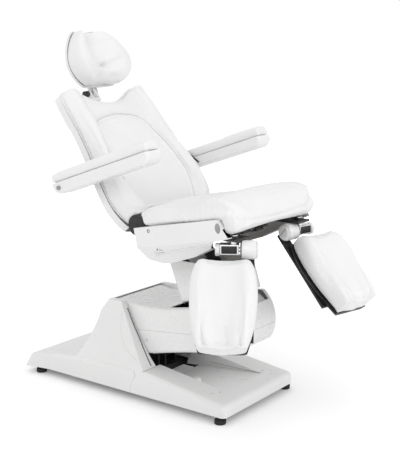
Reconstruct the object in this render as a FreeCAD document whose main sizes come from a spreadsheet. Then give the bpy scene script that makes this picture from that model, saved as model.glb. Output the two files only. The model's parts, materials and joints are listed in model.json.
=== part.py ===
import FreeCAD, Part
import math
import os
import Sketcher

# Podiatry chair: a floor base with a lift arm, a column that stays upright, a tilting seat,
# a reclining back with armrests and a headrest, and two leg rests that swivel and tilt.
# Millimetres. +X points to the patient's feet, +Y to the patient's left, +Z up.

doc = FreeCAD.newDocument("PodiatryChair")

# Driving sizes, one row each in the sheet
SIZES = [
    # Levelling feet and base frame
    ("foot_reach", 475.5), ("foot_offset", 229), ("foot_radius", 22.5), ("foot_height", 17),
    ("foot_neck_radius", 14), ("foot_neck_height", 8), ("foot_stem_radius", 6),
    ("nut_radius", 11), ("nut_height", 8), ("rail_offset", 163), ("rail_width", 40),
    ("rail_bottom", 30), ("rail_height", 26), ("rail_reach", 496), ("cross_reach", 234),
    ("upright_thickness", 10), ("upright_foot", 70), ("upright_top", 20), ("horn_foot", 45),
    ("horn_head", 17), ("horn_thickness", 8), ("horn_gap", 36), ("link_horn_offset", 96),
    # Lift arm geometry
    ("tower_x", -30), ("tower_z", 270), ("arm_length", 410), ("arm_angle", 8.4),
    ("shaft_radius", 15), ("shaft_flange_radius", 22), ("shaft_flange", 4), ("fit_gap", 0.05),
    ("bush_wall", 3), ("bush_length", 22), ("beam_offset", 120), ("beam_thickness", 16),
    ("beam_half_height", 32), ("boss_radius", 25), ("boss_reach", 144.6), ("tube_radius", 15),
    ("tube_place", 345), ("bracket_offset", 19), ("bracket_thickness", 8), ("bracket_reach", 15),
    # Parallel link that keeps the column upright
    ("link_drop", 60), ("link_offset", 75), ("link_thickness", 16), ("link_height", 24),
    ("pin_radius", 8), ("pin_play", 0.6), ("pin_head", 4),
    # Lift actuator
    ("lift_crank", 60), ("lift_mid_angle", 12), ("motor_radius", 27), ("motor_front", 100),
    ("gearbox_length", 60), ("gearbox_half_width", 30), ("ram_radius", 10), ("ram_bore_gap", 0.4),
    ("ram_sunk", 60), ("eye_radius", 17), ("eye_thickness", 24), ("eye_slot", 5),
    ("eye_play", 1.2),
    # Covers of the lift arm
    ("arm_half_width", 148), ("cover_wall", 3), ("arm_round", 14), ("arm_seam", 15),
    ("arm_seam_drop", 16), ("seam_gap", 0.8), ("arm_rear_radius", 126), ("slot_half_width", 123),
    ("slot_start", 196), ("nose_ridge", 60), ("belly_start", 96),
    # Base covers
    ("base_rear", 531), ("base_front", 506), ("base_half_width", 246), ("base_flare", 22),
    ("base_bottom", 28), ("rear_height", 92), ("waist_height", 125), ("nose_height", 74),
    ("base_seam_low", 45), ("base_seam_high", 104), ("base_round", 22), ("base_wall", 4),
    ("tower_rear", -262), ("tower_shoulder", -160), ("tower_shoulder_z", 322), ("tower_top", 374),
    ("tower_crown_rear", -118), ("tower_crown_front", -50), ("tower_top_half", 181),
    ("channel_half_width", 153), ("channel_gap", 5), ("deck_dish", 46), ("dish_front", 432),
    ("dish_half_width", 128), ("bump_place", 262), ("bump_radius", 26), ("bump_height", 30),
    ("bump_offset", 88), ("rear_panel_inset", 190), ("rear_panel_depth", 2.5),
    ("rear_panel_front", 300),
    # Control box and power inlet
    ("box_length", 150), ("box_width", 210), ("box_height", 34), ("inlet_width", 30),
    ("inlet_height", 24), ("inlet_depth", 22), ("inlet_socket", 14),
    # Column
    ("column_plate_offset", 93), ("column_plate", 10), ("column_foot_radius", 27),
    ("column_half_width", 115), ("column_wall", 3), ("column_top", 236),
    ("column_rear_low", -172), ("column_rear_low_z", 60), ("column_rear_top", -247),
    ("column_front_top", 24), ("column_front_low", 60), ("column_front_low_z", 122),
    ("column_round", 20),
    # Seat tilt hinge, from the lift arm's nose
    ("seat_back_step", -206), ("seat_rise", 262), ("seat_angle", 11), ("tilt_shaft_radius", 12),
    ("tilt_crank", 68), ("tilt_slot", 1), ("tilt_mid_angle", 8.5), ("seat_lug_offset", 108),
    ("seat_lug", 10), ("seat_lug_radius", 24),
    # Seat frame, board and covers, from the tilt hinge
    ("seat_rail_offset", 184), ("seat_rail_width", 24), ("seat_rail_low", 84),
    ("seat_rail_high", 116), ("seat_rail_front", 372), ("seat_rail_rear", -76),
    ("seat_cross", 24), ("seat_cross_low", 98), ("seat_cross_front", 322), ("seat_cross_mid", 60),
    ("board_low", 116), ("board_thickness", 12), ("board_half_width", 202), ("board_front", 374),
    ("board_rear", -8), ("side_half_width", 287), ("side_inner", 206), ("side_wall", 3),
    ("side_seam", 128), ("side_rear", -34), ("side_front", 354), ("side_keel", -18),
    ("screw_radius", 5), ("screw_length", 12), ("side_boss_radius", 9),
    # Actuators of the seat tilt and the back
    ("small_motor_radius", 22), ("small_motor_offset", 45), ("small_motor_front", 120),
    ("small_motor_length", 190), ("small_gearbox_length", 54), ("small_gearbox_half", 25),
    ("small_eye_radius", 15), ("small_ram_radius", 9), ("tilt_sunk", 60), ("back_sunk", 50),
    ("small_eye_thickness", 18), ("small_pin_radius", 6),
    # Seat cushion
    ("cushion_gap", 0.4), ("seat_cushion_front", 420), ("seat_cushion_half", 292),
    ("seat_cushion_top", 190), ("seat_front_drop", 66), ("seat_crown", 9), ("cushion_round", 26),
    # Back: recline hinge from the tilt hinge, in the seat's frame
    ("back_hinge_x", -51), ("back_hinge_z", 134), ("back_angle", 35), ("back_shaft_radius", 10),
    ("back_lug_radius", 22), ("torque_tube_radius", 17), ("back_plate_offset", 163),
    ("back_plate", 10), ("back_plate_radius", 27), ("back_crank", 70), ("back_mid_angle", 50),
    ("back_slot", 15), ("back_rail_rear", -80), ("back_rail_depth", 18), ("back_rail_width", 24),
    ("back_rail_top", 540), ("back_shell_front", -52), ("back_shell_rear", -90),
    ("back_shell_bulge", -136), ("socket_low", 400), ("back_shell_wall", 4),
    ("back_shell_low", -14), ("back_half_top", 244), ("back_peak", 632), ("back_dip", 568),
    ("back_cushion_rear", -51), ("bolster_width", 92), ("back_panel_sink", 16),
    ("hinge_cover_radius", 42), ("hinge_cover_inner", 206), ("hinge_cover_width", 46),
    ("hinge_cover_wall", 4),
    # Armrests: swing hub in the back's frame
    ("hub_x", -71), ("hub_z", 245), ("hub_radius", 14), ("hub_reach", 352),
    ("armrest_offset", 360), ("armrest_half", 43), ("armrest_angle", 18.5),
    ("armrest_length", 502), ("armrest_rear", 96), ("armrest_drop", 24),
    ("armrest_shell_height", 46), ("armrest_pad_height", 36), ("armrest_round", 12),
    ("armrest_wall", 4), ("button_radius", 8), ("button_travel", 5), ("button_length", 22),
    # Headrest: post socket in the back's frame
    ("post_x", -100), ("post_radius", 13), ("post_length", 265), ("post_out", 100),
    ("socket_radius", 22), ("socket_top", 550), ("post_slide_gap", 0.1), ("knob_radius", 13),
    ("knob_length", 22), ("head_hinge_rise", 12), ("head_hinge_radius", 15),
    ("head_hinge_width", 44), ("head_fork_gap", 24), ("head_angle", 14), ("head_pin_radius", 6),
    ("head_low", 20), ("head_height", 236), ("head_back", 16), ("head_shell_depth", 28),
    ("head_pad_depth", 108), ("head_shell_gap", 0.4), ("head_dent", 20),
    # Leg rests: swivel axes under the front corners of the seat
    ("leg_x", 530), ("leg_offset", 227), ("leg_z", 673), ("leg_out_angle", 57),
    ("leg_in_angle", -14), ("leg_tilt_right", 33), ("leg_tilt_left", 46), ("swivel_pin_radius", 9), ("bracket_plate_z", 34.5),
    ("bracket_plate", 8), ("bracket_half", 30), ("bracket_rear", 118), ("block_half_length", 22),
    ("block_inner", -20), ("block_outer", 50), ("block_low", -17), ("block_high", 22),
    ("block_window", 20), ("barrel_radius", 33), ("barrel_width", 56), ("barrel_centre", -53),
    ("barrel_pin_radius", 9), ("leg_bar_width", 44), ("leg_bar", 10), ("leg_bar_back", -50),
    ("leg_bar_length", 330), ("leg_pad_start", 44), ("leg_pad_length", 332),
    ("leg_pad_half_low", 88), ("leg_pad_offset", 32), ("leg_pad_back", -36), ("leg_pad_face", 64),
    ("leg_shell_depth", 12), ("leg_trough", 22), ("leg_cap_radius", 24), ("leg_cap_length", 16),
    # Shared
    ("overrun", 400), ("rest_gap", 0.3),
]


class Size:
    """A size worked out from the sheet: its value now, and the expression that binds it."""

    def __init__(self, value, text):
        self.value = value
        self.text = text

    def __add__(self, other):
        return Size(self.value + number(other), f"({self.text} + {written(other)})")

    def __radd__(self, other):
        return Size(number(other) + self.value, f"({written(other)} + {self.text})")

    def __sub__(self, other):
        return Size(self.value - number(other), f"({self.text} - {written(other)})")

    def __rsub__(self, other):
        return Size(number(other) - self.value, f"({written(other)} - {self.text})")

    def __mul__(self, other):
        return Size(self.value * number(other), f"({self.text} * {written(other)})")

    def __rmul__(self, other):
        return self * other

    def __truediv__(self, other):
        return Size(self.value / number(other), f"({self.text} / {written(other)})")

    def __neg__(self):
        return Size(-self.value, f"(0 - {self.text})")


def number(thing):
    """The value of a size or of a plain share."""
    return thing.value if isinstance(thing, Size) else thing


def written(thing):
    """The expression of a size or of a plain share."""
    return thing.text if isinstance(thing, Size) else f"({thing})"


def sine(angle):
    return Size(math.sin(math.radians(number(angle))), f"sin({written(angle)} * 1 deg)")


def cosine(angle):
    return Size(math.cos(math.radians(number(angle))), f"cos({written(angle)} * 1 deg)")


class Sheet:
    """The spreadsheet's rows as sizes, each under its own name."""

    def __init__(self, rows):
        self.page = doc.addObject("Spreadsheet::Sheet", "Sizes")
        for row, (alias, value) in enumerate(rows, start=1):
            self.page.set(f"A{row}", alias)
            self.page.set(f"B{row}", str(value))
            self.page.setAlias(f"B{row}", alias)
            setattr(self, alias, Size(value, f"Sizes.{alias}"))


s = Sheet(SIZES)
doc.recompute()

finished = []


def vector(x, y, z):
    return FreeCAD.Vector(number(x), number(y), number(z))


def bind(thing, field, size):
    """Set a property from a size, through its expression where it has one."""
    if isinstance(size, Size):
        thing.setExpression(field, size.text)
    elif field in ("Length", "Width", "Height", "Radius"):
        setattr(thing, field, size)


class Frame:
    """A place and attitude: an origin, a turn about Z, then a pitch about the turned Y axis."""

    def __init__(self, x, y, z, pitch=0, yaw=0):
        self.x, self.y, self.z, self.pitch, self.yaw = x, y, z, pitch, yaw

    def text(self):
        turn = (f"rotation(vector(0; 0; 1); {written(self.yaw)}) * "
                f"rotation(vector(0; 1; 0); {written(self.pitch)})")
        return f"placement(vector({written(self.x)}; {written(self.y)}; {written(self.z)}); {turn})"

    def point(self, x, z):
        """A point of this frame's own XZ plane, as a place in the chair."""
        forward = cosine(self.pitch) * x + sine(self.pitch) * z
        return self.x + forward, self.z + cosine(self.pitch) * z - sine(self.pitch) * x


def finish(thing, label, frame):
    """Name a finished sub-part and put it in its frame."""
    thing.Label = label
    thing.setExpression("Placement", frame.text())
    finished.append(thing)
    return thing


def origin_plane(body, role):
    for plane in body.Origin.OriginFeatures:
        if plane.Role == role:
            return plane
    raise RuntimeError(role)


def trace(sketch, loops, rings):
    """Draw closed loops of straight sides and arcs, and rings, each point held by its sizes.

    A corner is (x, y). A corner (x, y, mx, my) is reached by an arc through (mx, my)."""
    for loop in loops:
        first = sketch.GeometryCount
        count = len(loop)
        for index, corner in enumerate(loop):
            before = loop[index - 1]
            start = vector(before[0], before[1], 0)
            end = vector(corner[0], corner[1], 0)
            if len(corner) == 4:
                through = vector(corner[2], corner[3], 0)
                if (through - start).cross(end - through).z < 0:
                    start, end = end, start
                sketch.addGeometry(Part.Arc(start, through, end))
            else:
                sketch.addGeometry(Part.LineSegment(start, end))
        ends = []
        for index, corner in enumerate(loop):
            edge = sketch.Geometry[first + index]
            target = vector(corner[0], corner[1], 0)
            near_start = (edge.StartPoint - target).Length < (edge.EndPoint - target).Length
            ends.append(1 if near_start else 2)
        for index, corner in enumerate(loop):
            here = first + index
            following = first + (index + 1) % count
            other_end = 3 - ends[(index + 1) % count]
            sketch.addConstraint(Sketcher.Constraint("Coincident", here, ends[index],
                                                     following, other_end))
            hold(sketch, here, ends[index], corner[0], corner[1])
            if len(corner) == 4:
                middle = sketch.addGeometry(Part.Point(vector(corner[2], corner[3], 0)), True)
                hold(sketch, middle, 1, corner[2], corner[3])
                sketch.addConstraint(Sketcher.Constraint("PointOnObject", middle, 1, here))
    for x, y, radius in rings:
        ring = sketch.addGeometry(Part.Circle(vector(x, y, 0), FreeCAD.Vector(0, 0, 1),
                                              number(radius)))
        hold(sketch, ring, 3, x, y)
        limit = sketch.addConstraint(Sketcher.Constraint("Radius", ring, number(radius)))
        sketch.setExpression(f"Constraints[{limit}]", written(radius))


def hold(sketch, piece, end, x, y):
    """Fix one point of a sketch from the sketch's origin."""
    for kind, size in (("DistanceX", x), ("DistanceY", y)):
        limit = sketch.addConstraint(Sketcher.Constraint(kind, -1, 1, piece, end, number(size)))
        if isinstance(size, Size):
            sketch.setExpression(f"Constraints[{limit}]", size.text)


def body(label):
    made = doc.addObject("PartDesign::Body", label)
    made.AllowCompound = True
    return made


def draw(made, plane, loops=(), rings=(), centre=0):
    """A sketch on one of the body's own planes, centre away from it along +X, +Y or +Z."""
    sketch = made.newObject("Sketcher::SketchObject", made.Name + "_outline")
    sketch.AttachmentSupport = [(origin_plane(made, plane + "_Plane"), "")]
    sketch.MapMode = "FlatFace"
    lift = -centre if plane == "XZ" else centre
    if isinstance(lift, Size):
        sketch.setExpression("AttachmentOffset.Base.z", lift.text)
    trace(sketch, loops, rings)
    return sketch


def pad(made, plane, width, loops=(), rings=(), centre=0):
    """Material, as wide as width, half of it each side of centre."""
    feature = made.newObject("PartDesign::Pad", made.Name + "_pad")
    feature.Profile = draw(made, plane, loops, rings, centre)
    feature.SideType = "Symmetric"
    bind(feature, "Length", width)
    return feature


def pocket(made, plane, width, loops=(), rings=(), centre=0):
    """A cut, as wide as width, half of it each side of centre."""
    feature = made.newObject("PartDesign::Pocket", made.Name + "_pocket")
    feature.Profile = draw(made, plane, loops, rings, centre)
    feature.SideType = "Symmetric"
    bind(feature, "Length", width)
    return feature


def rounded(made, radius, test):
    """Round the edges of a body that pass the test."""
    doc.recompute()
    base = made.Tip
    names = [f"Edge{index}" for index, edge in enumerate(base.Shape.Edges, start=1) if test(edge)]
    feature = made.newObject("PartDesign::Fillet", made.Name + "_round")
    feature.Base = (base, names)
    bind(feature, "Radius", radius)
    return feature


def box_loop(x0, x1, y0, y1):
    return [(x0, y0), (x1, y0), (x1, y1), (x0, y1)]


def prism(loop, half_width, plane="XZ"):
    """A loop drawn in the XZ or YZ plane and run both ways to its half width."""
    sketch = doc.addObject("Sketcher::SketchObject", "outline")
    sketch.Placement = FreeCAD.Placement(FreeCAD.Vector(0, 0, 0), TURNS[plane])
    trace(sketch, [loop], [])
    return run(sketch, half_width)


TURNS = {"XZ": FreeCAD.Rotation(FreeCAD.Vector(1, 0, 0), 90),
         "YZ": FreeCAD.Rotation(FreeCAD.Vector(1, 1, 1), 120),
         "XY": FreeCAD.Rotation()}


def skin(plane, sections):
    """A smooth solid through closed outlines, each at its own place along the plane's normal."""
    axis = {"XZ": "y", "YZ": "x", "XY": "z"}[plane]
    outlines = []
    for place, loop in sections:
        sketch = doc.addObject("Sketcher::SketchObject", "section")
        sketch.Placement = FreeCAD.Placement(FreeCAD.Vector(0, 0, 0), TURNS[plane])
        if isinstance(place, Size):
            sketch.setExpression(f"Placement.Base.{axis}", place.text)
        trace(sketch, [loop], [])
        outlines.append(sketch)
    solid = doc.addObject("Part::Loft", "skin")
    solid.Sections = outlines
    solid.Solid = True
    solid.Ruled = False
    return solid


def run(outline, half_width):
    solid = doc.addObject("Part::Extrusion", "run")
    solid.Base = outline
    solid.DirMode = "Normal"
    solid.Solid = True
    bind(solid, "LengthFwd", half_width)
    bind(solid, "LengthRev", half_width)
    return solid


def block(x0, x1, y0, y1, z0, z1):
    """A box between two corners."""
    solid = doc.addObject("Part::Box", "block")
    bind(solid, "Length", x1 - x0)
    bind(solid, "Width", y1 - y0)
    bind(solid, "Height", z1 - z0)
    for field, size in (("x", x0), ("y", y0), ("z", z0)):
        if isinstance(size, Size):
            solid.setExpression(f"Placement.Base.{field}", size.text)
    return solid


def rod(x, z, radius, y0, y1):
    """A round bar along Y."""
    solid = doc.addObject("Part::Cylinder", "rod")
    bind(solid, "Radius", radius)
    bind(solid, "Height", y1 - y0)
    solid.setExpression("Placement", f"placement(vector({written(x)}; {written(y0)}; {written(z)}); "
                                     "rotation(vector(1; 0; 0); -90))")
    return solid


def cut(base, tools):
    tool = tools[0] if len(tools) == 1 else join(tools)
    solid = doc.addObject("Part::Cut", "cut")
    solid.Base = base
    solid.Tool = tool
    return solid


def join(pieces):
    solid = doc.addObject("Part::MultiFuse", "join")
    solid.Shapes = list(pieces)
    return solid


def common(base, tool):
    solid = doc.addObject("Part::Common", "common")
    solid.Base = base
    solid.Tool = tool
    return solid


def group(pieces):
    solid = doc.addObject("Part::Compound", "group")
    solid.Links = list(pieces)
    return solid


def soften(solid, radius, test):
    """Round the edges of a solid that pass the test."""
    doc.recompute()
    chosen = [(index, number(radius), number(radius))
              for index, edge in enumerate(solid.Shape.Edges, start=1) if test(edge)]
    feature = doc.addObject("Part::Fillet", "soften")
    feature.Base = solid
    feature.Edges = chosen
    return feature


def outer_rim(half_width):
    """A test for the edges that lie on the outer side planes of a prism."""
    def test(edge):
        box = edge.BoundBox
        return (box.YMax - box.YMin < 0.01
                and abs(abs(box.YMax) - number(half_width)) < 0.01)
    return test


# Frames of the moving groups
base_frame_place = Frame(0, 0, 0)
arm_place = Frame(s.tower_x, 0, s.tower_z, pitch=-s.arm_angle)
nose_x, nose_z = arm_place.point(s.arm_length, 0)
column_place = Frame(nose_x, 0, nose_z)
seat_place = Frame(nose_x + s.seat_back_step, 0, nose_z + s.seat_rise, pitch=-s.seat_angle)
hinge_x, hinge_z = seat_place.point(s.back_hinge_x, s.back_hinge_z)
back_place = Frame(hinge_x, 0, hinge_z, pitch=-s.back_angle)
hub_x, hub_z = back_place.point(s.hub_x, s.hub_z)
post_x, post_z = back_place.point(s.post_x, s.socket_top + s.post_out)


# Base: welded frame, feet, fixed shaft and pins, covers, control box and inlet

def make_base_frame():
    made = body("base_frame")
    top = s.rail_bottom + s.rail_height
    rail = box_loop(-s.rail_reach, s.rail_reach, s.rail_bottom, top)
    for side in (-1, 1):
        pad(made, "XZ", s.rail_width, [rail], centre=side * s.rail_offset)
    for place in (-s.foot_reach, s.foot_reach):
        bar = box_loop(place - s.rail_width / 2, place + s.rail_width / 2, s.rail_bottom, top)
        pad(made, "XZ", s.cross_reach * 2, [bar])
    heel = s.tower_x - s.horn_foot
    toe = s.tower_x + s.horn_foot
    middle = box_loop(heel, toe, s.rail_bottom, top)
    pad(made, "XZ", s.rail_offset * 2, [middle])
    upright = [(s.tower_x - s.upright_foot, top - s.rail_height / 2),
               (s.tower_x + s.upright_foot, top - s.rail_height / 2),
               (s.tower_x + s.upright_top, s.tower_z),
               (s.tower_x - s.upright_top, s.tower_z,
                s.tower_x, s.tower_z + s.upright_top)]
    for side in (-1, 1):
        pad(made, "XZ", s.upright_thickness, [upright], centre=side * s.rail_offset)
    pin_x, pin_z = lift_pin_place()
    horn = [(heel, top - s.rail_height / 2), (toe, top - s.rail_height / 2),
            (pin_x + s.horn_head, pin_z),
            (pin_x - s.horn_head, pin_z, pin_x, pin_z + s.horn_head)]
    for side in (-1, 1):
        pad(made, "XZ", s.horn_thickness, [horn],
            centre=side * (s.horn_gap + s.horn_thickness) / 2)
    link_x, link_z = s.tower_x, s.tower_z - s.link_drop
    link_horn = [(heel, top - s.rail_height / 2), (toe, top - s.rail_height / 2),
                 (link_x + s.horn_head, link_z),
                 (link_x - s.horn_head, link_z, link_x, link_z + s.horn_head)]
    pad(made, "XZ", s.horn_thickness, [link_horn], centre=s.link_horn_offset)
    bore = s.shaft_radius + s.fit_gap
    pocket(made, "XZ", (s.rail_offset + s.upright_thickness) * 2,
           rings=[(s.tower_x, s.tower_z, bore)])
    snug = s.pin_radius + s.fit_gap
    pocket(made, "XZ", s.horn_gap + s.horn_thickness * 3, rings=[(pin_x, pin_z, snug)])
    pocket(made, "XZ", s.horn_thickness * 2, rings=[(link_x, link_z, snug)],
           centre=s.link_horn_offset)
    stem = s.foot_stem_radius + s.fit_gap
    spots = [(x, y, stem) for x in (-s.foot_reach, s.foot_reach)
             for y in (-s.foot_offset, s.foot_offset)]
    pocket(made, "XY", s.rail_height * 2, rings=spots, centre=s.rail_bottom + s.rail_height / 2)
    return finish(made, "base_frame", base_frame_place)


def lift_pin_place():
    """The fixed pin that the lift ram pushes on, below the tower shaft."""
    lean = s.arm_angle + s.lift_mid_angle
    return s.tower_x + s.lift_crank * sine(lean), s.tower_z - s.lift_crank * cosine(lean)


def make_feet():
    """Four levelling feet: a rubber pad, a neck and a threaded stem through the cross bar."""
    made = body("levelling_feet")
    stem_top = s.rail_bottom + s.rail_height + s.nut_height + s.pin_head
    for x_side in (-1, 1):
        for y_side in (-1, 1):
            x = x_side * s.foot_reach
            y = y_side * s.foot_offset
            pad(made, "XY", s.foot_height, rings=[(x, y, s.foot_radius)],
                centre=s.foot_height / 2)
            pad(made, "XY", s.foot_neck_height, rings=[(x, y, s.foot_neck_radius)],
                centre=s.foot_height + s.foot_neck_height / 2)
            pad(made, "XY", stem_top - s.foot_height, rings=[(x, y, s.foot_stem_radius)],
                centre=(stem_top + s.foot_height) / 2)
    rounded(made, s.foot_height / 6, lambda edge: edge.Curve.TypeId == "Part::GeomCircle"
            and abs(edge.Curve.Radius - s.foot_radius.value) < 0.01)
    return finish(made, "levelling_feet", base_frame_place)


def make_foot_nuts():
    """Lock nuts above and below the cross bar, on each foot's stem."""
    made = body("foot_nuts")
    low = s.rail_bottom - s.nut_height / 2
    high = s.rail_bottom + s.rail_height + s.nut_height / 2
    bore = s.foot_stem_radius + s.fit_gap
    half_side = s.nut_radius / 2
    for level in (high,):
        for x_side in (-1, 1):
            for y_side in (-1, 1):
                x = x_side * s.foot_reach
                y = y_side * s.foot_offset
                across = s.nut_radius * sine(60)
                hexagon = [(x + s.nut_radius, y), (x + half_side, y + across),
                           (x - half_side, y + across), (x - s.nut_radius, y),
                           (x - half_side, y - across), (x + half_side, y - across)]
                pad(made, "XY", s.nut_height, [hexagon], rings=[(x, y, bore)], centre=level)
    return finish(made, "foot_nuts", base_frame_place)


def make_shaft(label, frame, x, z, radius, reach, flange_radius=None, flange=None):
    """A plain shaft along Y with a washer head outside each end."""
    made = body(label)
    pad(made, "XZ", reach * 2, rings=[(x, z, radius)])
    if flange_radius is not None:
        for side in (-1, 1):
            pad(made, "XZ", flange, rings=[(x, z, flange_radius)],
                centre=side * (reach + flange / 2))
    return finish(made, label, frame)


def make_lift_shaft():
    reach = s.rail_offset + s.upright_thickness / 2 + s.rest_gap
    return make_shaft("lift_shaft", base_frame_place, s.tower_x, s.tower_z, s.shaft_radius,
                      reach, s.shaft_flange_radius, s.shaft_flange)


def make_base_pins():
    """The ram's pin across its horns, and the parallel link's pin on its own horn."""
    made = body("base_pins")
    x, z = lift_pin_place()
    half = s.horn_gap / 2 + s.horn_thickness + s.rest_gap
    pad(made, "XZ", half * 2, rings=[(x, z, s.pin_radius)])
    for side in (-1, 1):
        pad(made, "XZ", s.pin_head, rings=[(x, z, s.pin_radius + s.pin_head)],
            centre=side * (half + s.pin_head / 2))
    inner = s.link_offset - s.link_thickness / 2 - s.rest_gap
    outer = s.link_horn_offset + s.horn_thickness / 2 + s.rest_gap
    link_z = s.tower_z - s.link_drop
    pad(made, "XZ", outer - inner, rings=[(s.tower_x, link_z, s.pin_radius)],
        centre=(outer + inner) / 2)
    for place in (inner - s.pin_head / 2, outer + s.pin_head / 2):
        pad(made, "XZ", s.pin_head, rings=[(s.tower_x, link_z, s.pin_radius + s.pin_head)],
            centre=place)
    return finish(made, "base_pins", base_frame_place)


def base_plan(inset, overshoot):
    """The plan outline of the base covers, which flares at the rear corners."""
    flare_start = s.base_rear * 0.78
    half = s.base_half_width - inset
    rear_half = half + s.base_flare
    rear = -s.base_rear + inset - overshoot
    front = s.base_front - inset
    return [(rear, -rear_half), (-flare_start, -half), (front, -half), (front, half),
            (-flare_start, half), (rear, rear_half)]


def rear_side(inset):
    """Side view of the rear cover, with its slope up to the tower's foot."""
    low = s.base_bottom - (inset * 2)
    return [(-s.base_rear + inset, low), (s.base_seam_low - s.seam_gap / 2, low),
            (s.base_seam_high - s.seam_gap / 2, s.waist_height - inset,
             s.base_seam_low * 0.72 + s.base_seam_high * 0.28,
             s.base_bottom * 0.4 + s.waist_height * 0.6),
            (-s.rear_panel_inset, s.waist_height - inset),
            (-s.base_rear * 0.93 + inset, s.rear_height - inset)]


def tower_side(inset):
    """Side view of the tower: arched back, flat crown and a long curved front edge."""
    crown = s.tower_top - inset
    heel, toe = s.base_seam_low - s.seam_gap / 2, s.base_seam_high - s.seam_gap / 2
    return [(s.tower_rear + inset, s.base_bottom + inset), (heel - inset, s.base_bottom + inset),
            (toe - inset, s.waist_height - inset,
             heel * 0.72 + toe * 0.28 - inset, s.base_bottom * 0.4 + s.waist_height * 0.6),
            (s.tower_crown_front - inset * 0.6, crown,
             toe * 0.38 + s.tower_crown_front * 0.62 - inset,
             s.waist_height * 0.48 + s.tower_top * 0.52),
            (s.tower_crown_rear + inset * 0.4, crown),
            (s.tower_shoulder + inset, s.tower_shoulder_z - inset * 0.6),
            (s.tower_rear + inset, s.waist_height * 0.9,
             s.tower_shoulder * 0.62 + s.tower_rear * 0.38 + inset,
             s.waist_height * 0.5 + s.tower_shoulder_z * 0.5)]


def tower_front(inset):
    """Front view of the tower: cheeks that spread towards the floor."""
    half = s.base_half_width - inset
    top_half = s.tower_top_half - inset
    low = s.base_bottom - inset
    top = s.tower_top + inset
    return [(-half, low), (half, low), (half, s.waist_height * 0.8),
            (top_half, top, top_half * 0.8 + half * 0.2,
             s.waist_height * 0.5 + s.tower_top * 0.5),
            (-top_half, top),
            (-half, s.waist_height * 0.8, -top_half * 0.8 - half * 0.2,
             s.waist_height * 0.5 + s.tower_top * 0.5)]


def plan_prism(inset, overshoot=0):
    solid = prism(base_plan(inset, overshoot), s.overrun, plane="XY")
    return solid


def make_tower_cover():
    wide = s.base_half_width + s.base_flare
    outer_foot = common(prism(rear_side(0), wide), plan_prism(0))
    outer_foot = soften(outer_foot, s.base_round, rear_cover_rim)
    outer_tower = common(prism(tower_side(0), s.base_half_width),
                         prism(tower_front(0), s.overrun, plane="YZ"))
    inner_foot = common(prism(rear_side(s.base_wall), wide), plan_prism(s.base_wall))
    inner_foot = soften(inner_foot, s.base_round - s.base_wall, rear_cover_rim)
    inner_tower = common(prism(tower_side(s.base_wall), s.base_half_width),
                         prism(tower_front(s.base_wall), s.overrun, plane="YZ"))
    channel_wall = prism(channel_side(s.base_wall), s.channel_half_width + s.base_wall)
    channel = prism(channel_side(0), s.channel_half_width)
    hollow = cut(join([inner_foot, inner_tower]), [channel_wall])
    shell = cut(join([outer_foot, outer_tower]), [hollow, channel])
    bore = rod(s.tower_x, s.tower_z, s.shaft_radius + s.rest_gap, -s.rail_offset, s.rail_offset)
    slope = (s.waist_height - s.rear_height) / (s.base_rear * 0.93 - s.rear_panel_inset)
    floor = s.waist_height - slope * (s.rear_panel_front - s.rear_panel_inset) - s.rear_panel_depth
    rear_end = -s.base_rear * 0.93
    foot = floor - slope * (-s.rear_panel_front - rear_end)
    panel = prism([(-s.rear_panel_front, floor), (-s.rear_panel_front, floor + s.overrun),
                   (rear_end * 1.05, floor + s.overrun), (rear_end * 1.05, foot),
                   (rear_end, foot)], s.rear_panel_inset)
    inlet = inlet_block(s.rest_gap, s.overrun)
    high = s.rail_bottom + s.rail_height + s.channel_gap
    outer_y = s.rail_offset + s.rail_width / 2 + s.channel_gap
    passage = block(-s.rail_reach - s.channel_gap, s.overrun, -outer_y, outer_y,
                    -s.overrun, high)
    return finish(cut(shell, [bore, panel, inlet, passage]), "tower_cover", base_frame_place)


def rear_cover_rim(edge):
    """The long upper edges and the rear top edge of the rear cover."""
    box = edge.BoundBox
    level = box.ZMin > s.rear_height.value * 0.9
    long_enough = edge.Length > s.base_seam_high.value
    return level and long_enough and box.XMax < s.base_seam_low.value * 3


def channel_side(grow):
    """The open channel between the cheeks, in which the lift arm turns."""
    radius = s.arm_rear_radius + s.channel_gap + grow
    back = s.tower_x - radius * 0.613
    high = s.tower_z + s.overrun
    low = s.base_bottom - s.overrun
    reach = radius * 0.79
    return [(s.tower_x + s.overrun, high), (s.tower_x + s.overrun, low), (back, low),
            (back, s.tower_z - reach),
            (back, s.tower_z + reach, s.tower_x - radius, s.tower_z),
            (back, high)]


def inlet_block(grow, reach):
    """The power inlet's place, low in the rear edge of the base."""
    low = s.base_bottom + s.inlet_height / 2
    return block(-s.base_rear - reach, -s.base_rear + s.inlet_depth + grow,
                 -s.inlet_width / 2 - grow, s.inlet_width / 2 + grow,
                 low - grow, low + s.inlet_height + grow)


def deck_side(inset):
    """Side view of the front deck, sloping down to its rounded front."""
    low = s.base_bottom - (inset * 2)
    return [(s.base_seam_low + s.seam_gap / 2, low,
             s.base_seam_low * 0.72 + s.base_seam_high * 0.28 + s.seam_gap,
             s.base_bottom * 0.4 + s.waist_height * 0.6),
            (s.base_front - inset, low), (s.base_front - inset, s.nose_height - inset),
            (s.base_seam_high + s.seam_gap / 2, s.waist_height - inset)]


def dish_side(sink):
    """The sunken ramp in the deck below the lift arm, flush at its front end."""
    slope = (s.waist_height - s.nose_height) / (s.base_front - s.base_seam_high)
    flush = s.waist_height - slope * (s.dish_front - s.base_seam_high)
    rear = s.base_seam_high - s.overrun / 2
    drop = s.deck_dish / (s.dish_front - s.base_seam_high)
    low = flush - drop * (s.dish_front - rear) + slope * (s.dish_front - rear) * 0.4
    return [(rear, low - sink), (s.dish_front, flush - sink), (s.dish_front, flush + s.overrun),
            (rear, flush + s.overrun)]


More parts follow.
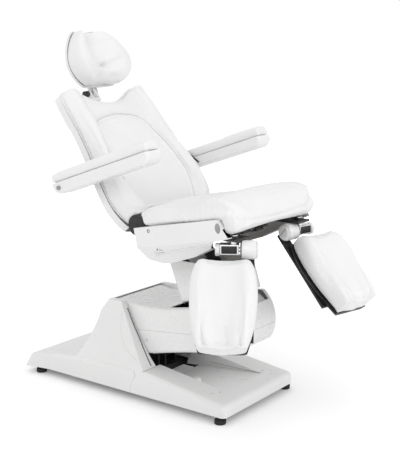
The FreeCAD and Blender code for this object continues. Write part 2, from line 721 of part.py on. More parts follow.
def deck_rim(inset):
    """A test for the upper edges and the upright front corners of the deck."""
    front = s.base_front.value - number(inset) - 1
    side = s.base_half_width.value - number(inset)
    high = s.nose_height.value - number(inset) - 1

    def test(edge):
        box = edge.BoundBox
        at_front = box.XMin > front
        upright = (at_front and box.ZMax - box.ZMin > s.rail_height.value
                   and edge.Curve.TypeId == "Part::GeomLine")
        at_side = min(abs(abs(box.YMax) - side), abs(abs(box.YMin) - side)) < 0.1
        upper = (box.ZMin > high and edge.Length > s.base_seam_high.value
                 and (at_front or at_side))
        return upright or upper
    return test


def make_deck_cover():
    wide = s.base_half_width + s.base_flare
    outer = common(prism(deck_side(0), wide), plan_prism(0))
    outer = soften(outer, s.base_round, deck_rim(0))
    inner = common(prism(deck_side(s.base_wall), wide), plan_prism(s.base_wall))
    inner = soften(inner, s.base_round - s.base_wall, deck_rim(s.base_wall))
    tray = prism(dish_side(s.base_wall), s.dish_half_width + s.base_wall)
    dish = prism(dish_side(0), s.dish_half_width)
    mouth = block(s.base_seam_low - s.overrun, s.base_seam_high + s.bump_radius / 2,
                  -s.dish_half_width, s.dish_half_width, s.base_bottom + s.base_wall, s.overrun)
    shell = cut(outer, [cut(inner, [tray]), dish, mouth])
    tip = s.waist_height - s.deck_dish * 0.7
    bump = doc.addObject("Part::Cone", "bump")
    bind(bump, "Radius1", s.bump_radius)
    bind(bump, "Radius2", s.bump_radius * 0.55)
    bind(bump, "Height", s.bump_height)
    bump.setExpression("Placement", f"placement(vector({written(s.bump_place)}; "
                       f"{written(-s.bump_offset)}; {written(tip - s.bump_height)}); "
                       "rotation(vector(0; 0; 1); 0))")
    spot, place = cover_screw_spot()
    holes = []
    for side in (-1, 1):
        hole = doc.addObject("Part::Cylinder", "screw_hole")
        bind(hole, "Radius", s.screw_radius + s.fit_gap)
        bind(hole, "Height", s.waist_height * 2)
        hole.setExpression("Placement.Base.x", spot.text)
        hole.setExpression("Placement.Base.y", (side * place).text)
        holes.append(hole)
    return finish(cut(join([shell, bump]), holes), "deck_cover", base_frame_place)


def make_cover_screws():
    """Countersunk screws that hold the two base covers down to the frame."""
    made = body("base_cover_screws")
    slope = (s.waist_height - s.nose_height) / (s.base_front - s.base_seam_high)
    spot, place = cover_screw_spot()
    level = s.waist_height - slope * (spot - s.base_seam_high)
    for side in (-1, 1):
        pad(made, "XY", s.screw_length, rings=[(spot, side * place, s.screw_radius)],
            centre=level - s.pin_head / 4 - s.screw_length / 2)
    return finish(made, "base_cover_screws", base_frame_place)


def cover_screw_spot():
    return s.dish_front - s.screw_radius * 3, s.dish_half_width + s.screw_radius * 4


def make_control_box():
    """The mains and control box on the rear of the base frame, under the cover."""
    made = body("control_box")
    rear = s.foot_reach - s.rail_width / 2 - s.rest_gap
    loop = box_loop(-rear, -rear + s.box_length, s.rail_bottom, s.rail_bottom + s.box_height)
    pad(made, "XZ", s.box_width, [loop])
    rounded(made, s.rail_width / 10, lambda edge: edge.BoundBox.ZMin
            > (s.rail_bottom + s.box_height).value - 0.1)
    return finish(made, "control_box", base_frame_place)


def make_power_inlet():
    """A plain appliance inlet with its socket open to the rear."""
    outer = inlet_block(0, 0)
    low = s.base_bottom + s.inlet_height / 2
    margin = s.inlet_height / 6
    socket = block(-s.base_rear - s.overrun, -s.base_rear + s.inlet_socket,
                   -s.inlet_width / 2 + margin, s.inlet_width / 2 - margin,
                   low + margin, low + s.inlet_height - margin)
    blades = [block(-s.base_rear + s.inlet_socket / 3, -s.base_rear + s.inlet_socket,
                    side * s.inlet_width / 5 - s.pin_head / 4,
                    side * s.inlet_width / 5 + s.pin_head / 4,
                    low + s.inlet_height / 2 - s.pin_head / 2,
                    low + s.inlet_height / 2 + s.pin_head / 2) for side in (-1, 0, 1)]
    return finish(join([cut(outer, [socket])] + blades), "power_inlet", base_frame_place)


# Lift arm: box beam, bushes, actuator, and its three cover shells

def make_arm_beam():
    made = body("arm_beam")
    high = s.beam_half_height
    side_plate = [(0, -high, -high, 0), (s.arm_length, -high),
                  (s.arm_length, high, s.arm_length + high, 0), (0, high)]
    for side in (-1, 1):
        pad(made, "XZ", s.beam_thickness, [side_plate], centre=side * s.beam_offset)
    pad(made, "XZ", s.boss_reach * 2, rings=[(0, 0, s.boss_radius)])
    pad(made, "XZ", s.beam_offset * 2, rings=[(s.tube_place, 0, s.tube_radius)])
    axis = lift_axis_drop()
    bracket = box_loop(s.tube_place - s.bracket_reach, s.tube_place + s.bracket_reach,
                       -axis - s.bracket_reach, 0)
    for side in (-1, 1):
        pad(made, "XZ", s.bracket_thickness, [bracket], centre=side * s.bracket_offset)
    bush = s.shaft_radius + s.bush_wall + s.fit_gap * 2
    pocket(made, "XZ", s.overrun, rings=[(0, 0, bush), (s.arm_length, 0, bush)])
    pocket(made, "XZ", s.overrun / 2, rings=[(s.tube_place, -axis, s.pin_radius + s.fit_gap)])
    return finish(made, "arm_beam", arm_place)


def lift_axis_drop():
    """How far the lift actuator's axis lies below the line between the arm's two pivots."""
    swing = s.lift_mid_angle * 1.5
    return s.lift_crank * (cosine(swing) + 1) / 2


def make_arm_bushes():
    """Plain bearing bushes in the beam, on the tower shaft and the nose shaft."""
    made = body("arm_bushes")
    outer = s.shaft_radius + s.bush_wall
    inner = s.shaft_radius + s.fit_gap
    tower = s.boss_reach - s.bush_length / 2
    for side in (-1, 1):
        pad(made, "XZ", s.bush_length, rings=[(0, 0, outer), (0, 0, inner)],
            centre=side * tower)
        pad(made, "XZ", s.beam_thickness, rings=[(s.arm_length, 0, outer), (s.arm_length, 0, inner)],
            centre=side * s.beam_offset)
    return finish(made, "arm_bushes", arm_place)


def make_nose_shaft():
    reach = s.beam_offset + s.beam_thickness / 2 + s.rest_gap
    return make_shaft("nose_shaft", arm_place, s.arm_length, 0, s.shaft_radius, reach,
                      s.shaft_flange_radius, s.shaft_flange)


def make_lift_motor():
    axis = -lift_axis_drop()
    rear = s.tube_place - s.eye_radius
    made = body("lift_motor")
    return actuator_parts(made, "lift_motor", arm_place, axis, 0, s.motor_front, rear,
                          s.motor_radius, s.gearbox_length, s.gearbox_half_width, s.ram_radius,
                          s.eye_radius, s.bracket_offset * 2 - s.bracket_thickness - s.rest_gap * 2,
                          s.pin_radius)


def actuator_parts(made, label, frame, axis_z, offset, front, rear, radius, gearbox, gearbox_half,
                   ram, eye, eye_thickness, pin):
    """A linear actuator's body: tube, gearbox, rear eye and its cross pin.

    The axis runs along X at axis_z, and the tube opens towards smaller X for the ram."""
    tube = rear - gearbox - front
    pad(made, "YZ", tube, rings=[(offset, axis_z, radius)], centre=front + tube / 2)
    box = box_loop(offset - gearbox_half, offset + gearbox_half, axis_z - gearbox_half,
                   axis_z + gearbox_half)
    pad(made, "YZ", gearbox, [box], centre=rear - gearbox / 2)
    eye_x = rear + eye
    pad(made, "XZ", eye_thickness, rings=[(eye_x, axis_z, eye * 1.1)], centre=offset)
    pad(made, "XZ", eye_thickness + s.bracket_thickness * 2 + s.pin_head,
        rings=[(eye_x, axis_z, pin)], centre=offset)
    pocket(made, "YZ", tube, rings=[(offset, axis_z, ram + s.ram_bore_gap)],
           centre=front + tube / 2)
    return finish(made, label, frame)


def ram_parts(label, frame, axis_z, offset, eye_x, tip, ram, eye, thickness, pin, slot):
    """A ram with its slotted rod end: the slot runs across the axis and takes the crank pin."""
    made = body(label)
    root = eye_x + eye * 0.8
    pad(made, "YZ", tip - root, rings=[(offset, axis_z, ram)], centre=(tip + root) / 2)
    high = slot / 2 + pin + s.eye_play + eye * 0.5
    half = eye
    head = [(eye_x - half, axis_z - high), (eye_x + half, axis_z - high),
            (eye_x + half, axis_z + high), (eye_x - half, axis_z + high)]
    pad(made, "XZ", thickness, [head], centre=offset)
    gap = pin + s.eye_play
    rise = slot / 2
    opening = [(eye_x - gap, axis_z - rise),
               (eye_x + gap, axis_z - rise, eye_x, axis_z - rise - gap),
               (eye_x + gap, axis_z + rise),
               (eye_x - gap, axis_z + rise, eye_x, axis_z + rise + gap)]
    pocket(made, "XZ", thickness * 2, [opening], centre=offset)
    return finish(made, label, frame)


def make_lift_ram():
    axis = -lift_axis_drop()
    eye_x = s.lift_crank * sine(s.lift_mid_angle)
    return ram_parts("lift_ram", arm_place, axis, 0, eye_x,
                     s.motor_front + s.ram_sunk, s.ram_radius, s.eye_radius, s.eye_thickness,
                     s.pin_radius, s.eye_slot)


# Outline of the lift arm's housing, in shares of the arm's length along and across it: top from
# the rear through its waist, then nose and belly. A row of four is reached by an arc.
HOUSING_SHARES = ((1.06, 0.238, 0.56, 0.178), (1.165, 0.239), (1.178, -0.244, 1.262, 0.0),
                  (0.205, -0.288, 0.654, -0.252))


def housing_loop(inset):
    """Side view of the housing: round rear end, waisted top, blunt rounded nose."""
    length = s.arm_length
    rear = s.arm_rear_radius - inset
    top, brow, nose, belly = HOUSING_SHARES
    return [(-rear * 0.494, rear * 0.869, -rear, -rear * 0.05),
            (length * top[0], length * top[1] - inset, length * top[2], length * top[3] - inset),
            (length * brow[0] - inset, length * brow[1] - inset),
            (length * nose[0] - inset, length * nose[1] + inset,
             length * nose[2] - inset, length * nose[3]),
            (length * belly[0], length * belly[1] + inset,
             length * belly[2], length * belly[3] + inset),
            (-rear * 0.17, -rear * 0.985)]


def housing_shell():
    """Outer housing with its long edges rounded, less the hollow and the column's slot."""
    outer = soften(prism(housing_loop(0), s.arm_half_width), s.arm_round,
                   housing_rim(s.arm_half_width))
    inner = soften(prism(housing_loop(s.cover_wall), s.arm_half_width - s.cover_wall),
                   s.arm_round - s.cover_wall, housing_rim(s.arm_half_width - s.cover_wall))
    slot = block(s.slot_start, s.overrun * 2, -s.slot_half_width, s.slot_half_width,
                 s.nose_ridge, s.overrun)
    bore = rod(0, 0, s.boss_radius - s.bush_wall, -s.overrun, s.overrun)
    return cut(outer, [inner, slot, bore])


def housing_rim(half_width):
    """A test for the housing's side edges ahead of its round rear end."""
    on_side = outer_rim(half_width)
    return lambda edge: on_side(edge) and edge.BoundBox.XMax > 0


def seam_region(above):
    """Everything above or below the seam that splits the housing lengthwise."""
    rear = -s.overrun
    front = s.overrun * 2
    drop = s.arm_seam_drop / s.arm_length
    gap = s.seam_gap / 2 if above else -s.seam_gap / 2
    far = s.overrun if above else -s.overrun
    return prism([(rear, -s.arm_seam - drop * rear + gap), (front, -s.arm_seam - drop * front + gap),
                  (front, far), (rear, far)], s.overrun)


def make_arm_covers():
    upper = common(housing_shell(), seam_region(True))
    finish(upper, "arm_upper_cover", arm_place)
    open_heel = block(-s.overrun, s.belly_start, -s.arm_half_width + s.cover_wall,
                      s.arm_half_width - s.cover_wall, -s.overrun, s.overrun)
    lower = cut(common(housing_shell(), seam_region(False)), [open_heel])
    finish(lower, "arm_lower_cover", arm_place)


# Parallel link between the base and the column

def make_leveller_link():
    made = body("leveller_link")
    high = s.link_height / 2
    bar = [(0, -high, -high, 0), (s.arm_length, -high),
           (s.arm_length, high, s.arm_length + high, 0), (0, high)]
    pad(made, "XZ", s.link_thickness, [bar], centre=s.link_offset)
    for place in (0, s.arm_length):
        pad(made, "XZ", s.link_thickness, rings=[(place, 0, s.link_height * 0.7)],
            centre=s.link_offset)
    pocket(made, "XZ", s.link_thickness * 2, centre=s.link_offset,
           rings=[(0, 0, s.pin_radius + s.fit_gap), (s.arm_length, 0, s.pin_radius + s.pin_play)])
    frame = Frame(s.tower_x, 0, s.tower_z - s.link_drop, pitch=-s.arm_angle)
    return finish(made, "leveller_link", frame)


# Column: upright frame between the arm's nose and the seat's tilt hinge, and its cover

# Direction from the nose up to the tilt hinge, as shares across and up
COLUMN_LEAN_SHARES = (-0.618, 0.786)


def column_strip(foot_radius, head_radius):
    """Side view of a column plate: two round ends and straight sides."""
    across, up = COLUMN_LEAN_SHARES
    top_x, top_z = s.seat_back_step, s.seat_rise
    return [(foot_radius * up, -foot_radius * across, -foot_radius * across, -foot_radius * up),
            (top_x + head_radius * up, top_z - head_radius * across),
            (top_x - head_radius * up, top_z + head_radius * across,
             top_x + head_radius * across, top_z + head_radius * up),
            (-foot_radius * up, foot_radius * across)]


def tilt_pin_place():
    """The column's fixed pin above the tilt hinge, which the tilt ram pushes on."""
    return (s.seat_back_step - s.tilt_crank * sine(s.tilt_mid_angle),
            s.seat_rise + s.tilt_crank * cosine(s.tilt_mid_angle))


def horn_loop(x, z, pin_x, pin_z, foot, head):
    """A tapered horn from a wide foot on a tube to a round head about its pin."""
    rise = -1 if number(pin_z) < number(z) else 1
    return [(x - foot, z), (x + foot, z), (pin_x + head, pin_z),
            (pin_x - head, pin_z, pin_x, pin_z + head * rise)]


def make_column_frame():
    made = body("column_frame")
    strip = column_strip(s.column_foot_radius, s.seat_lug_radius)
    for side in (-1, 1):
        pad(made, "XZ", s.column_plate, [strip], centre=side * s.column_plate_offset)
    for share in (0.28, 0.62):
        pad(made, "XZ", s.column_plate_offset * 2, rings=[(s.seat_back_step * share,
            s.seat_rise * share, s.tilt_shaft_radius)])
    foot = horn_loop(0, 0, 0, -s.link_drop, s.column_foot_radius * 0.9, s.horn_head)
    pad(made, "XZ", s.column_plate, [foot], centre=s.column_plate_offset)
    sleeve = s.tilt_shaft_radius + s.column_plate / 2
    pad(made, "XZ", s.column_plate_offset * 2, rings=[(s.seat_back_step, s.seat_rise, sleeve)])
    pin_x, pin_z = tilt_pin_place()
    horn = horn_loop(s.seat_back_step, s.seat_rise, pin_x, pin_z, sleeve, s.small_pin_radius * 2)
    gap = s.small_eye_thickness / 2 + s.rest_gap + s.bracket_thickness / 2
    for side in (-1, 1):
        pad(made, "XZ", s.bracket_thickness, [horn], centre=s.small_motor_offset + side * gap)
    pocket(made, "XZ", s.overrun, rings=[(0, 0, s.shaft_radius + s.fit_gap),
           (s.seat_back_step, s.seat_rise, s.tilt_shaft_radius + s.fit_gap)])
    pocket(made, "XZ", s.column_plate * 2, rings=[(0, -s.link_drop, s.pin_radius + s.fit_gap)],
           centre=s.column_plate_offset)
    pocket(made, "XZ", s.small_eye_thickness * 4, rings=[(pin_x, pin_z,
           s.small_pin_radius + s.fit_gap)], centre=s.small_motor_offset)
    return finish(made, "column_frame", column_place)


def make_column_pins():
    """The parallel link's pin in the column's foot, and the tilt ram's pin in its horns."""
    made = body("column_pins")
    inner = s.link_offset - s.link_thickness / 2 - s.rest_gap
    outer = s.column_plate_offset + s.column_plate / 2 + s.rest_gap
    pad(made, "XZ", outer - inner, rings=[(0, -s.link_drop, s.pin_radius)],
        centre=(outer + inner) / 2)
    for place in (inner - s.pin_head / 2, outer + s.pin_head / 2):
        pad(made, "XZ", s.pin_head, rings=[(0, -s.link_drop, s.pin_radius + s.pin_head)],
            centre=place)
    x, z = tilt_pin_place()
    half = s.small_eye_thickness / 2 + s.rest_gap * 2 + s.bracket_thickness
    pad(made, "XZ", half * 2, rings=[(x, z, s.small_pin_radius)], centre=s.small_motor_offset)
    for side in (-1, 1):
        pad(made, "XZ", s.pin_head / 2, rings=[(x, z, s.small_pin_radius + s.pin_head / 2)],
            centre=s.small_motor_offset + side * (half + s.pin_head / 4))
    return finish(made, "column_pins", column_place)


def make_tilt_shaft():
    reach = s.seat_lug_offset + s.seat_lug / 2 + s.rest_gap
    return make_shaft("tilt_shaft", column_place, s.seat_back_step, s.seat_rise,
                      s.tilt_shaft_radius, reach, s.tilt_shaft_radius + s.shaft_flange,
                      s.shaft_flange)


def column_side(inset):
    """Side view of the column's cover, which leans back as it rises."""
    return [(s.column_rear_low + inset, s.column_rear_low_z - inset),
            (s.column_front_low - inset, s.column_front_low_z - inset),
            (s.column_front_top - inset, s.column_top + inset),
            (s.column_rear_top + inset, s.column_top + inset)]


def make_column_cover():
    outer = soften(prism(column_side(0), s.column_half_width), s.column_round, upright_corner)
    inner = soften(prism(column_side(s.column_wall), s.column_half_width - s.column_wall),
                   s.column_round - s.column_wall, upright_corner)
    mouth = rod(0, 0, s.nose_ridge * 1.6, -s.column_half_width + s.column_wall,
                s.column_half_width - s.column_wall)
    notch = rod(s.seat_back_step, s.seat_rise, s.seat_lug_radius + s.channel_gap,
                -s.overrun, s.overrun)
    shell = cut(outer, [inner, mouth, notch])
    plate_face = s.column_plate_offset + s.column_plate / 2
    bosses = [rod(s.seat_back_step * share, s.seat_rise * share, s.side_boss_radius,
                  *ordered(side, plate_face, s.column_half_width - s.column_wall / 2))
              for share in (0.55, 0.8) for side in (-1, 1)]
    return finish(join([shell] + bosses), "column_cover", column_place)


def upright_corner(edge):
    """The four corners of the column's cover that run up it."""
    box = edge.BoundBox
    return (box.YMax - box.YMin < 0.01
            and box.ZMax - box.ZMin > s.column_round.value * 3)


# Seat: frame, leg brackets, board, covers and the two actuators under it

def make_seat_frame():
    made = body("seat_frame")
    rail = box_loop(s.seat_rail_rear, s.seat_rail_front, s.seat_rail_low, s.seat_rail_high)
    for side in (-1, 1):
        pad(made, "XZ", s.seat_rail_width, [rail], centre=side * s.seat_rail_offset)
    for place in (s.seat_cross_mid, s.seat_cross_front):
        bar = box_loop(place - s.seat_cross / 2, place + s.seat_cross / 2, s.seat_cross_low,
                       s.seat_rail_high)
        pad(made, "XZ", s.seat_rail_offset * 2, [bar])
    lug = [(-s.seat_lug_radius, 0), (s.seat_lug_radius, 0, 0, -s.seat_lug_radius),
           (s.seat_cross_mid + s.seat_cross / 2, s.seat_rail_high),
           (s.seat_cross_mid - s.seat_cross * 2, s.seat_rail_high)]
    for side in (-1, 1):
        pad(made, "XZ", s.seat_lug, [lug], centre=side * s.seat_lug_offset)
    ear = [(s.back_hinge_x - s.back_lug_radius, s.seat_rail_low),
           (s.back_hinge_x + s.back_lug_radius, s.seat_rail_low),
           (s.back_hinge_x + s.back_lug_radius, s.back_hinge_z),
           (s.back_hinge_x - s.back_lug_radius, s.back_hinge_z,
            s.back_hinge_x, s.back_hinge_z + s.back_lug_radius)]
    for side in (-1, 1):
        pad(made, "XZ", s.seat_lug, [ear], centre=side * s.seat_rail_offset)
    eye_x = seat_eye_place()
    gap = s.small_eye_thickness / 2 + s.rest_gap + s.bracket_thickness / 2
    for offset, axis in ((s.small_motor_offset, tilt_axis()), (-s.small_motor_offset, back_axis())):
        hanger = box_loop(eye_x - s.small_pin_radius * 2, eye_x + s.small_pin_radius * 2,
                          axis - s.small_pin_radius * 2, s.seat_rail_high)
        for side in (-1, 1):
            pad(made, "XZ", s.bracket_thickness, [hanger], centre=offset + side * gap)
        pocket(made, "XZ", s.small_eye_thickness * 3,
               rings=[(eye_x, axis, s.small_pin_radius + s.fit_gap)], centre=offset)
    pocket(made, "XZ", s.overrun, rings=[(0, 0, s.tilt_shaft_radius + s.fit_gap),
           (s.back_hinge_x, s.back_hinge_z, s.back_shaft_radius + s.fit_gap)])
    return finish(made, "seat_frame", seat_place)


def seat_eye_place():
    """Where along the seat both actuators are held by their rear eyes."""
    return s.small_motor_front + s.small_motor_length + s.small_eye_radius


def tilt_axis():
    """Height of the tilt actuator's axis above the tilt hinge, in the seat's frame."""
    return s.tilt_crank - s.tilt_slot / 2


def back_axis():
    """Height of the back actuator's axis above the tilt hinge, in the seat's frame."""
    return s.back_hinge_z - s.back_crank + s.back_slot / 2


def make_small_motors():
    rear = s.small_motor_front + s.small_motor_length
    for label, offset, axis in (("tilt_motor", s.small_motor_offset, tilt_axis()),
                                ("back_motor", -s.small_motor_offset, back_axis())):
        actuator_parts(body(label), label, seat_place, axis, offset, s.small_motor_front, rear,
                       s.small_motor_radius, s.small_gearbox_length, s.small_gearbox_half,
                       s.small_ram_radius, s.small_eye_radius, s.small_eye_thickness,
                       s.small_pin_radius)


def make_small_rams():
    pin = s.tilt_crank * sine(s.seat_angle - s.tilt_mid_angle)
    ram_parts("tilt_ram", seat_place, tilt_axis(), s.small_motor_offset, pin,
              s.small_motor_front + s.tilt_sunk, s.small_ram_radius, s.small_eye_radius,
              s.small_eye_thickness, s.small_pin_radius, s.tilt_slot + s.pin_head)
    pin = s.back_hinge_x - s.back_crank * sine(s.back_mid_angle - s.back_angle)
    ram_parts("back_ram", seat_place, back_axis(), -s.small_motor_offset, pin,
              s.small_motor_front + s.back_sunk, s.small_ram_radius, s.small_eye_radius,
              s.small_eye_thickness, s.small_pin_radius, s.back_slot)


def make_back_shaft():
    reach = s.seat_rail_offset + s.seat_lug / 2 + s.rest_gap
    return make_shaft("back_shaft", seat_place, s.back_hinge_x, s.back_hinge_z,
                      s.back_shaft_radius, reach, s.back_shaft_radius + s.shaft_flange,
                      s.shaft_flange)


def make_leg_brackets():
    """Plates on the seat rails with the upright bosses that the leg rests swivel in."""
    made = body("leg_brackets")
    plate_low = s.leg_z + s.bracket_plate_z
    plate_high = plate_low + s.bracket_plate
    front = s.leg_x + s.bracket_half
    rear = s.leg_x - s.bracket_rear
    foot_x, foot_z = seat_place.point(s.seat_rail_front - s.bracket_rear, s.seat_rail_low)
    toe_x, toe_z = seat_place.point(s.seat_rail_front - s.rest_gap, s.seat_rail_low)
    for side in (-1, 1):
        plan = box_loop(rear, front, side * (s.seat_rail_offset - s.seat_rail_width / 2),
                        side * (s.leg_offset + s.bracket_half))
        pad(made, "XY", s.bracket_plate, [plan], centre=(plate_low + plate_high) / 2)
        riser = [(rear, plate_high - s.bracket_plate / 2), (toe_x, plate_high
                 - s.bracket_plate / 2), (toe_x, toe_z), (foot_x, foot_z)]
        pad(made, "XZ", s.seat_rail_width, [riser], centre=side * s.seat_rail_offset)
    spots = [(s.leg_x, side * s.leg_offset, s.swivel_pin_radius * 2) for side in (-1, 1)]
    for spot in spots:
        pad(made, "XY", s.bracket_plate * 2, rings=[spot], centre=plate_high)
    bores = [(s.leg_x, side * s.leg_offset, s.swivel_pin_radius + s.fit_gap) for side in (-1, 1)]
    pocket(made, "XY", s.overrun / 2, rings=bores, centre=plate_high)
    return finish(made, "leg_brackets", base_frame_place)


def make_seat_board():
    made = body("seat_board")
    plan = box_loop(s.board_rear, s.board_front, -s.board_half_width, s.board_half_width)
    pad(made, "XY", s.board_thickness, [plan], centre=s.board_low + s.board_thickness / 2)
    rounded(made, s.cushion_round, lambda edge: edge.BoundBox.ZMax - edge.BoundBox.ZMin
            > s.board_thickness.value * 0.9)
    return finish(made, "seat_board", seat_place)


# Outline of a seat side cover, in shares of the seat rail's front reach, from the tilt hinge
SIDE_BELLY_SHARES = ((-0.089, 0.14), (-0.0215, 0.0), (0.1156, -0.048), (0.2177, -0.059),
                     (0.548, -0.011), (0.8, 0.062), (0.872, 0.135), (1.059, 0.15))


def side_cover_side(inset):
    """Side view of a seat side cover: level seam on top, belly hanging below the hinge."""
    reach = s.seat_rail_front
    belly = [(reach * x + inset, reach * z + inset) for x, z in SIDE_BELLY_SHARES]
    top = s.side_seam - inset
    return ([(s.side_rear + inset, top)] + belly
            + [(s.side_front - inset, top)])


def make_side_covers():
    for name, side in (("right", -1), ("left", 1)):
        outer = side_cover_block(side, 0)
        inner = side_cover_block(side, s.side_wall)
        shell = cut(outer, [inner])
        boss = rod(s.seat_rail_front * 0.17, s.board_low / 3, s.side_boss_radius,
                   *ordered(side, s.side_inner, s.side_half_width - s.side_wall))
        hole = rod(s.seat_rail_front * 0.17, s.board_low / 3, s.screw_radius + s.fit_gap,
                   *ordered(side, s.side_inner - s.side_wall, s.side_half_width + s.side_wall))
        bay = block(s.seat_rail_front * 0.75, s.overrun * 2,
                    *ordered(side, 0, s.leg_offset + s.bracket_half + s.side_wall),
                    -s.overrun, s.board_low * 0.7)
        notch = rod(s.back_hinge_x, s.back_hinge_z, s.hinge_cover_radius + s.channel_gap,
                    *ordered(side, 0, s.hinge_cover_inner + s.hinge_cover_width
                             + s.channel_gap))
        finish(cut(join([shell, boss]), [hole, bay, notch]), f"side_cover_{name}", seat_place)


def ordered(side, near, far):
    """Two distances from the middle, as a rising pair on the named side."""
    return (near, far) if side > 0 else (-far, -near)


def side_cover_block(side, inset):
    """A side cover's outer form, or its hollow, which is open towards the middle."""
    inner_y = s.side_inner - inset * 3
    low_y = (s.side_inner + s.side_half_width) / 2 - inset
    wide = s.side_half_width - inset
    front_view = [(side * inner_y, -s.overrun / 2), (side * low_y, -s.overrun / 2),
                  (side * low_y, s.side_keel),
                  (side * wide, s.side_seam * 0.42), (side * wide, s.overrun / 2),
                  (side * inner_y, s.overrun / 2)]
    if side < 0:
        front_view = front_view[::-1]
    return common(prism(side_cover_side(inset), s.overrun),
                  prism(front_view, s.overrun * 2, plane="YZ"))


def make_side_cover_screws():
    made = body("side_cover_screws")
    spot = (s.seat_rail_front * 0.17, s.board_low / 3)
    outer = s.side_half_width - s.side_wall * 2
    for side in (-1, 1):
        pad(made, "XZ", s.screw_length, rings=[(spot[0], spot[1], s.screw_radius)],
            centre=side * (outer - s.screw_length / 2))
    return finish(made, "side_cover_screws", seat_place)


# Back: frame, shell, hinge covers and armrest hubs

def back_pin_place():
    """The back's crank pin below its hinge, in the back's frame."""
    lean = s.back_mid_angle - s.seat_angle
    return -s.back_crank * sine(lean), -s.back_crank * cosine(lean)


def make_back_frame():
    made = body("back_frame")
    radius = s.back_plate_radius
    rear = s.back_rail_rear
    front = s.back_rail_rear + s.back_rail_depth
    pad(made, "XZ", s.back_plate_offset * 2 - s.back_plate, rings=[(0, 0, s.torque_tube_radius)])
    plate = [(0, radius), (0, -radius, radius, 0), (rear, radius / 2), (rear, radius * 4),
             (front, radius * 4), (front, radius)]
    rail = box_loop(rear, front, radius * 2, s.back_rail_top)
    for side in (-1, 1):
        pad(made, "XZ", s.back_plate, [plate], centre=side * s.back_plate_offset)
        pad(made, "XZ", s.back_rail_width, [rail], centre=side * s.back_plate_offset)
    for level in (s.hub_z, s.socket_low + s.back_rail_width * 1.5, s.back_rail_top):
        bar = box_loop(rear, front, level - s.back_rail_width, level)
        pad(made, "XZ", s.back_plate_offset * 2, [bar])
    pin_x, pin_z = back_pin_place()
    horn = [(-s.torque_tube_radius, 0), (s.torque_tube_radius, 0),
            (pin_x + s.small_pin_radius * 2, pin_z),
            (pin_x - s.small_pin_radius * 2, pin_z, pin_x, pin_z - s.small_pin_radius * 2)]
    gap = s.small_eye_thickness / 2 + s.rest_gap + s.bracket_thickness / 2
    for side in (-1, 1):
        pad(made, "XZ", s.bracket_thickness, [horn], centre=-s.small_motor_offset + side * gap)
    pad(made, "XZ", s.small_eye_thickness + s.bracket_thickness * 2,
        rings=[(pin_x, pin_z, s.small_pin_radius)], centre=-s.small_motor_offset)
    hub_reach = s.hub_reach - s.back_plate_offset
    for side in (-1, 1):
        pad(made, "XZ", hub_reach, rings=[(s.hub_x, s.hub_z, s.hub_radius)],
            centre=side * (s.back_plate_offset + hub_reach / 2))
    socket = s.socket_top - s.socket_low
    middle = s.socket_low + socket / 2
    pad(made, "XY", socket, centre=middle, rings=[(s.post_x, 0, s.socket_radius),
        (s.post_x, 0, s.post_radius + s.post_slide_gap)])
    pocket(made, "XZ", s.overrun * 2, rings=[(0, 0, s.back_shaft_radius + s.fit_gap)])
    return finish(made, "back_frame", back_place)


# Back sections from its lower end up, as shares of the peak's height: height, half width and
# how far the bolsters stand forward
BACK_SECTION_SHARES = ((0.048, 0.38, 0.055), (0.18, 0.448, 0.053), (0.34, 0.442, 0.039),
                       (0.52, 0.416, 0.018), (0.7, 0.402, 0.001), (0.87, 0.406, -0.012),
                       (1.04, 0.388, -0.016))


def shell_section(half, inset):
    """Plan section of the back shell: open front, flat flanks and a rounded rear."""
    front = s.back_shell_front + inset
    rear = s.back_shell_rear + inset
    half = half - inset
    return [(front, half), (front, -half), (rear, -half * 0.97),
            (rear, half * 0.97, s.back_shell_bulge + inset, 0)]


def top_of_back(lift):
    """Everything above the back's top line: two shoulders with a dip between them."""
    peak = s.back_peak - lift
    dip = s.back_dip - lift
    half = s.back_half_top
    return prism([(-half * 1.3, dip * 0.95), (-half * 0.5, peak * 0.955, -half * 0.82, peak),
                  (half * 0.5, peak * 0.955, 0, dip),
                  (half * 1.3, dip * 0.95, half * 0.82, peak),
                  (half * 1.3, peak * 1.5), (-half * 1.3, peak * 1.5)], s.overrun, plane="YZ")


def make_back_shell():
    peak = s.back_peak
    wall = s.back_shell_wall
    outer = skin("XY", [(peak * z + s.back_shell_low if z < 0.1 else peak * z,
                         shell_section(peak * half * 0.97, 0))
                        for z, half, front in BACK_SECTION_SHARES])
    inner = skin("XY", [(peak * z + s.back_shell_low - wall if z < 0.1 else peak * z,
                         shell_section(peak * half * 0.97, wall))
                        for z, half, front in BACK_SECTION_SHARES])
    outer = cut(outer, [top_of_back(wall)])
    inner = cut(inner, [top_of_back(wall * 3)])
    ports = [rod(s.hub_x, s.hub_z, s.hub_radius + s.rest_gap, -s.overrun, s.overrun)]
    post = doc.addObject("Part::Cylinder", "post_hole")
    bind(post, "Radius", s.socket_radius + s.rest_gap)
    bind(post, "Height", s.overrun)
    post.setExpression("Placement.Base.x", s.post_x.text)
    post.setExpression("Placement.Base.z", (s.socket_top * 0.9).text)
    belly = rod(0, 0, s.back_plate_radius + s.channel_gap, -s.overrun, s.overrun)
    return finish(cut(outer, [inner, post, belly] + ports), "back_shell", back_place)


